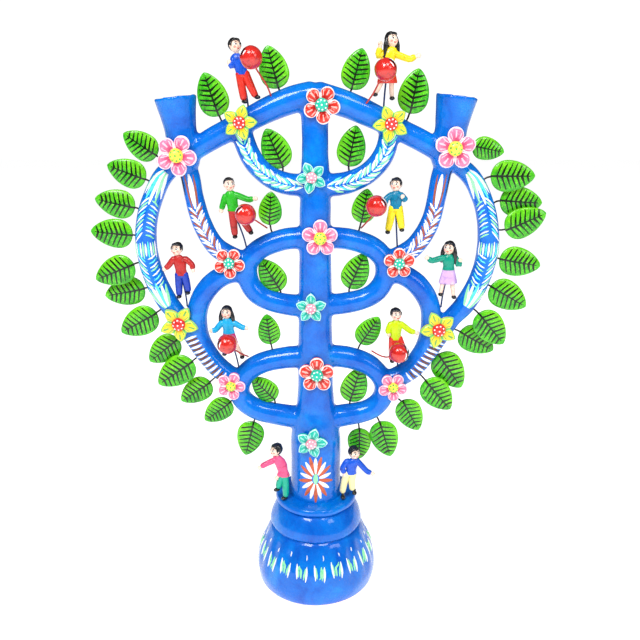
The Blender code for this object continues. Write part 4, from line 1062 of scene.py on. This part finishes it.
def paint_arms(brush, side):
    """Fronds and dashes down the outer arm, bars and a herringbone down the inner, stripes down the tail."""
    outward = -side
    outer, inner = RUNS["outer", side], RUNS["inner", side]

    def stroke(marks, width, colour, host=outer):
        shares = [(share_at(host, height), angle) for height, angle in marks]
        brush.along_coil(host, shares, outward, width, colour)

    def spray(base, way, reach, taper, angles, twist, first):
        """A spray of broad strokes, each with a thin one beside it, fanning up or down from a height."""
        for k, angle in enumerate(angles):
            end = base + way * (reach - abs(angle) * taper)
            broad = [(base, angle * 0.3), (base + 7 * way, angle * 0.6), (end, angle)]
            thin = [(base + 2 * way, angle * 0.35 + 7), (base + 8 * way, angle * 0.65 + 8),
                    (end - 3 * way, angle + twist)]
            stroke(broad, 3.4, TINTS[(k + first) % 4])
            stroke(thin, 1.3, TINTS[(k + 1 - first) % 4])

    spray(399, -1, 27, 0.12, (-58, -30, 0, 28, 54), 8, 0)
    for top, lean, count in ((376, 1, 9), (298, -1, 8)):
        for k in range(count):
            height = top - lean * 3.7 * k + chance.uniform(-0.5, 0.5)
            right = [(height + 2 * lean, 6), (height - 2 * lean, 26), (height - 7 * lean, 48 + 3 * (k % 3))]
            left = [(height, -10), (height - lean, -34), (height - 4 * lean, -60 - 3 * (k % 2))]
            stroke(right, 1.6, TINTS[k % 4])
            stroke(left, 1.5, TINTS[(k + 1) % 4])
    for k in range(10):
        angle = -63 + 14 * k
        reach = chance.uniform(0, 4)
        dash = [(338 + reach * 0.5, angle), (332, angle * 1.04), (327 - reach * 0.6, angle)]
        stroke(dash, 1.8, TINTS[k % 4])
    spray(281, 1, 22, 0.08, (-60, -34, -8, 20, 46), 9, 1)
    for marks, width, colour in (([(397, -4), (384, -4), (368, -2)], 4.4, "white_paint"),
                                 ([(398, 24), (385, 22), (364, 14)], 1.8, "terracotta_paint"),
                                 ([(396, -30), (383, -28), (366, -18)], 2.0, "terracotta_paint"),
                                 ([(402, 50), (392, 54), (380, 50)], 2.4, "black_paint")):
        stroke(marks, width, colour, inner)
    for k in range(13):
        height = 369 - 3.1 * k
        colour = ("white_paint", "terracotta_paint", "white_paint")[k % 3]
        spread = 44 + 5 * (k % 2)
        stroke([(height + 3, -spread), (height, -24), (height - 4, 0)], 2.1, colour, inner)
        stroke([(height + 1, spread), (height - 1, 24), (height - 6, 0)], 2.1, colour, inner)
    for k in range(19):
        spot, _, along = on_run(outer, share_at(outer, 251 - 2.15 * k))
        across = along.cross(FRONT).normalized() * outward
        ends = [spot / MM + across * reach for reach in (-7.5, -1, 5.5)]
        brush.from_front([(end.x, end.z) for end in ends], 2.3, ("white_paint", "brown_paint")[k % 2])


def paint_hanging(brush, side):
    """Feathered strokes along the hanging coil."""
    for k in range(25):
        share = 0.1 + 0.031 * k
        reach = chance.uniform(0.07, 0.11)
        lean = chance.uniform(20, 44)
        for way, tint in ((1, k), (-1, k + 2)):
            marks = [(share, 3 * way), (share + reach * 0.5, lean * 0.7 * way), (share + reach, lean * way)]
            brush.along_coil(RUNS["hanging", side], marks, 1, chance.uniform(1.6, 2.4), TINTS[tint % 4])


def paint_daisy(brush):
    """A long daisy on the trunk above the foot, white and rust petals in turn."""
    petals, middle, stretch = 18, 117, 1.5
    for k in range(petals):
        angle = 2 * math.pi * (k + 0.5) / petals
        reach = 16 if k % 2 else 14.5
        x, z = math.cos(angle), math.sin(angle) * stretch
        marks = [(x * 3.4, middle + z * 3.6), (x * reach * 0.6, middle + z * reach * 0.6),
                 (x * reach, middle + z * reach)]
        brush.from_front(marks, 3.9, ("white_paint", "orange_paint")[k % 2])
    for half, width, colour in ((5.5, 4.6, "green_paint"), (2.5, 1.6, "terracotta_paint")):
        brush.from_front([(0, middle - half), (0, middle + half)], width, colour)


# The strokes in each flute of the foot as (sideways, low, high, width, colour).
FLUTE_STROKES = [
    (-1.1, 33, 45, 2.0, "green_paint"), (0, 32, 46, 2.2, "green_paint"), (1.1, 31, 44, 2.0, "green_paint"),
    (-2.9, 31, 48, 2.1, "white_paint"), (2.9, 29, 46, 2.1, "white_paint"), (1.5, 52, 56, 1.2, "white_paint"),
]


def paint_foot(brush):
    """A green oval between two white strokes in each flute of the foot."""
    for middle in round_angles(FLUTES):
        wobble = chance.uniform(-1.5, 1.5)
        for sideways, low, high, width, colour in FLUTE_STROKES:
            angle = middle + FLUTE_START + sideways / 57
            out = (EAST * math.cos(angle) + NORTH * math.sin(angle)) * 62 * MM
            marks = [out + UP * (low + wobble + (high - low) * step / 6) * MM for step in range(7)]
            dab(brush.shape, brush.nearest, marks, width, paint(colour), 0.7)


# ---------------------------------------------------------------- the whole tree
def surface_of(piece):
    mesh = piece.data
    return BVHTree.FromPolygons([vertex.co for vertex in mesh.vertices],
                                [polygon.vertices for polygon in mesh.polygons])


skin_tree = surface_of(skin_piece())
foot = foot_piece()
strokes = Shape()
brush = Brush(strokes, skin_tree)
for side in (-1, 1):
    paint_arms(brush, side)
    paint_hanging(brush, side)
paint_daisy(brush)
paint_foot(Brush(strokes, surface_of(foot)))
strokes.make("brush_strokes", "tree", "doll_paint")
leaves(skin_tree)
for name, x, z, radius, kind, turn in FLOWERS:
    clay_front = skin_tree.ray_cast(place(x, z) + FRONT * FAR, -FRONT)[0].y
    flower_piece(name, x, z, radius, kind, turn, clay_front - FLOWER_GAP * MM)
for name, (centre, wire_points, arc) in BALLS.items():
    ball_piece(name, centre, wire_points, arc, skin_tree)
for name, plan in DOLLS.items():
    doll = Doll(plan, STANDING.get(name, DOLL_DEPTH))
    doll.make("clay_" + name, "tree" if name in STANDING else name, "doll_paint", [name])


# ---------------------------------------------------------------- studio
# Lights as (name, place, target, size, power).
LIGHTS = [
    ("key", (-0.55, -1.1, 1.6), (0, 0, 0.28), 0.6, 23), ("top", (0.5, -1.0, 1.7), (0, 0, 0.3), 0.5, 9),
    ("fill", (1.1, -1.1, 0.9), (0, 0, 0.25), 0.5, 4),
]
CAMERA_PLACE, CAMERA_LENS, CAMERA_DIP = (0.0041, -0.6, 0.45), 38.8, 17.03
FLOOR_HALF, FLOOR_GLOW = 6.0, 0.75
# How bright the sky looks to the camera, to the clay and in reflections.
SEEN_SKY, SOFT_SKY, MIRRORED_SKY = 1.1, 0.26, 0.08


def add_object(name, data):
    thing = bpy.data.objects.new(name, data)
    bpy.context.scene.collection.objects.link(thing)
    return thing


def lay_floor():
    """A white floor that glows a little, so that it runs into the white behind it."""
    mesh = bpy.data.meshes.new("floor")
    corners = [(x * FLOOR_HALF, y * FLOOR_HALF, 0) for x, y in ((-1, -1), (1, -1), (1, 1), (-1, 1))]
    mesh.from_pydata(corners, [], [(0, 1, 2, 3)])
    material, tree, shader = new_material("floor_white", 0.9, 0.0, 0.1)
    tone = ramp(mottle(tree, 3.0), greys((0.3, 0.93), (0.7, 0.96)))
    tree.links.new(tone, shader.inputs["Base Color"])
    shader.inputs["Emission Color"].default_value = (1, 1, 1, 1)
    shader.inputs["Emission Strength"].default_value = FLOOR_GLOW
    mesh.materials.append(material)
    add_object("floor", mesh)


def hang_sky(scene):
    """A plain white sky, dimmer on the clay and dimmer still in its reflections."""
    scene.world = bpy.data.worlds.new("sky")
    scene.world.use_nodes = True
    sky = scene.world.node_tree
    sky.nodes.remove(sky.nodes["Background"])
    ray = add_node(sky, "ShaderNodeLightPath").outputs
    seen, soft, mirrored = (
        add_node(sky, "ShaderNodeBackground", {"Color": (1, 1, 1), "Strength": strength}).outputs[0]
        for strength in (SEEN_SKY, SOFT_SKY, MIRRORED_SKY))
    lit = add_node(sky, "ShaderNodeMixShader", {0: ray["Is Glossy Ray"], 1: soft, 2: mirrored}).outputs[0]
    white = add_node(sky, "ShaderNodeMixShader", {0: ray["Is Camera Ray"], 1: lit, 2: seen}).outputs[0]
    sky.links.new(white, sky.nodes["World Output"].inputs["Surface"])


def studio():
    """A white room with a large key light from the upper left, and the camera where the photo was taken."""
    scene = bpy.context.scene
    scene.view_settings.view_transform = "Standard"
    lay_floor()
    hang_sky(scene)
    for name, spot, target, size, power in LIGHTS:
        lamp = bpy.data.lights.new(name, "AREA")
        lamp.size = size
        lamp.energy = power
        light = add_object(name, lamp)
        light.location = spot
        light.rotation_euler = (Vector(target) - Vector(spot)).to_track_quat("-Z", "Y").to_euler()
    camera = add_object("camera", bpy.data.cameras.new("camera"))
    camera.data.lens = CAMERA_LENS
    camera.location = CAMERA_PLACE
    camera.rotation_euler = (math.radians(90 - CAMERA_DIP), 0, 0)
    scene.camera = camera


studio()
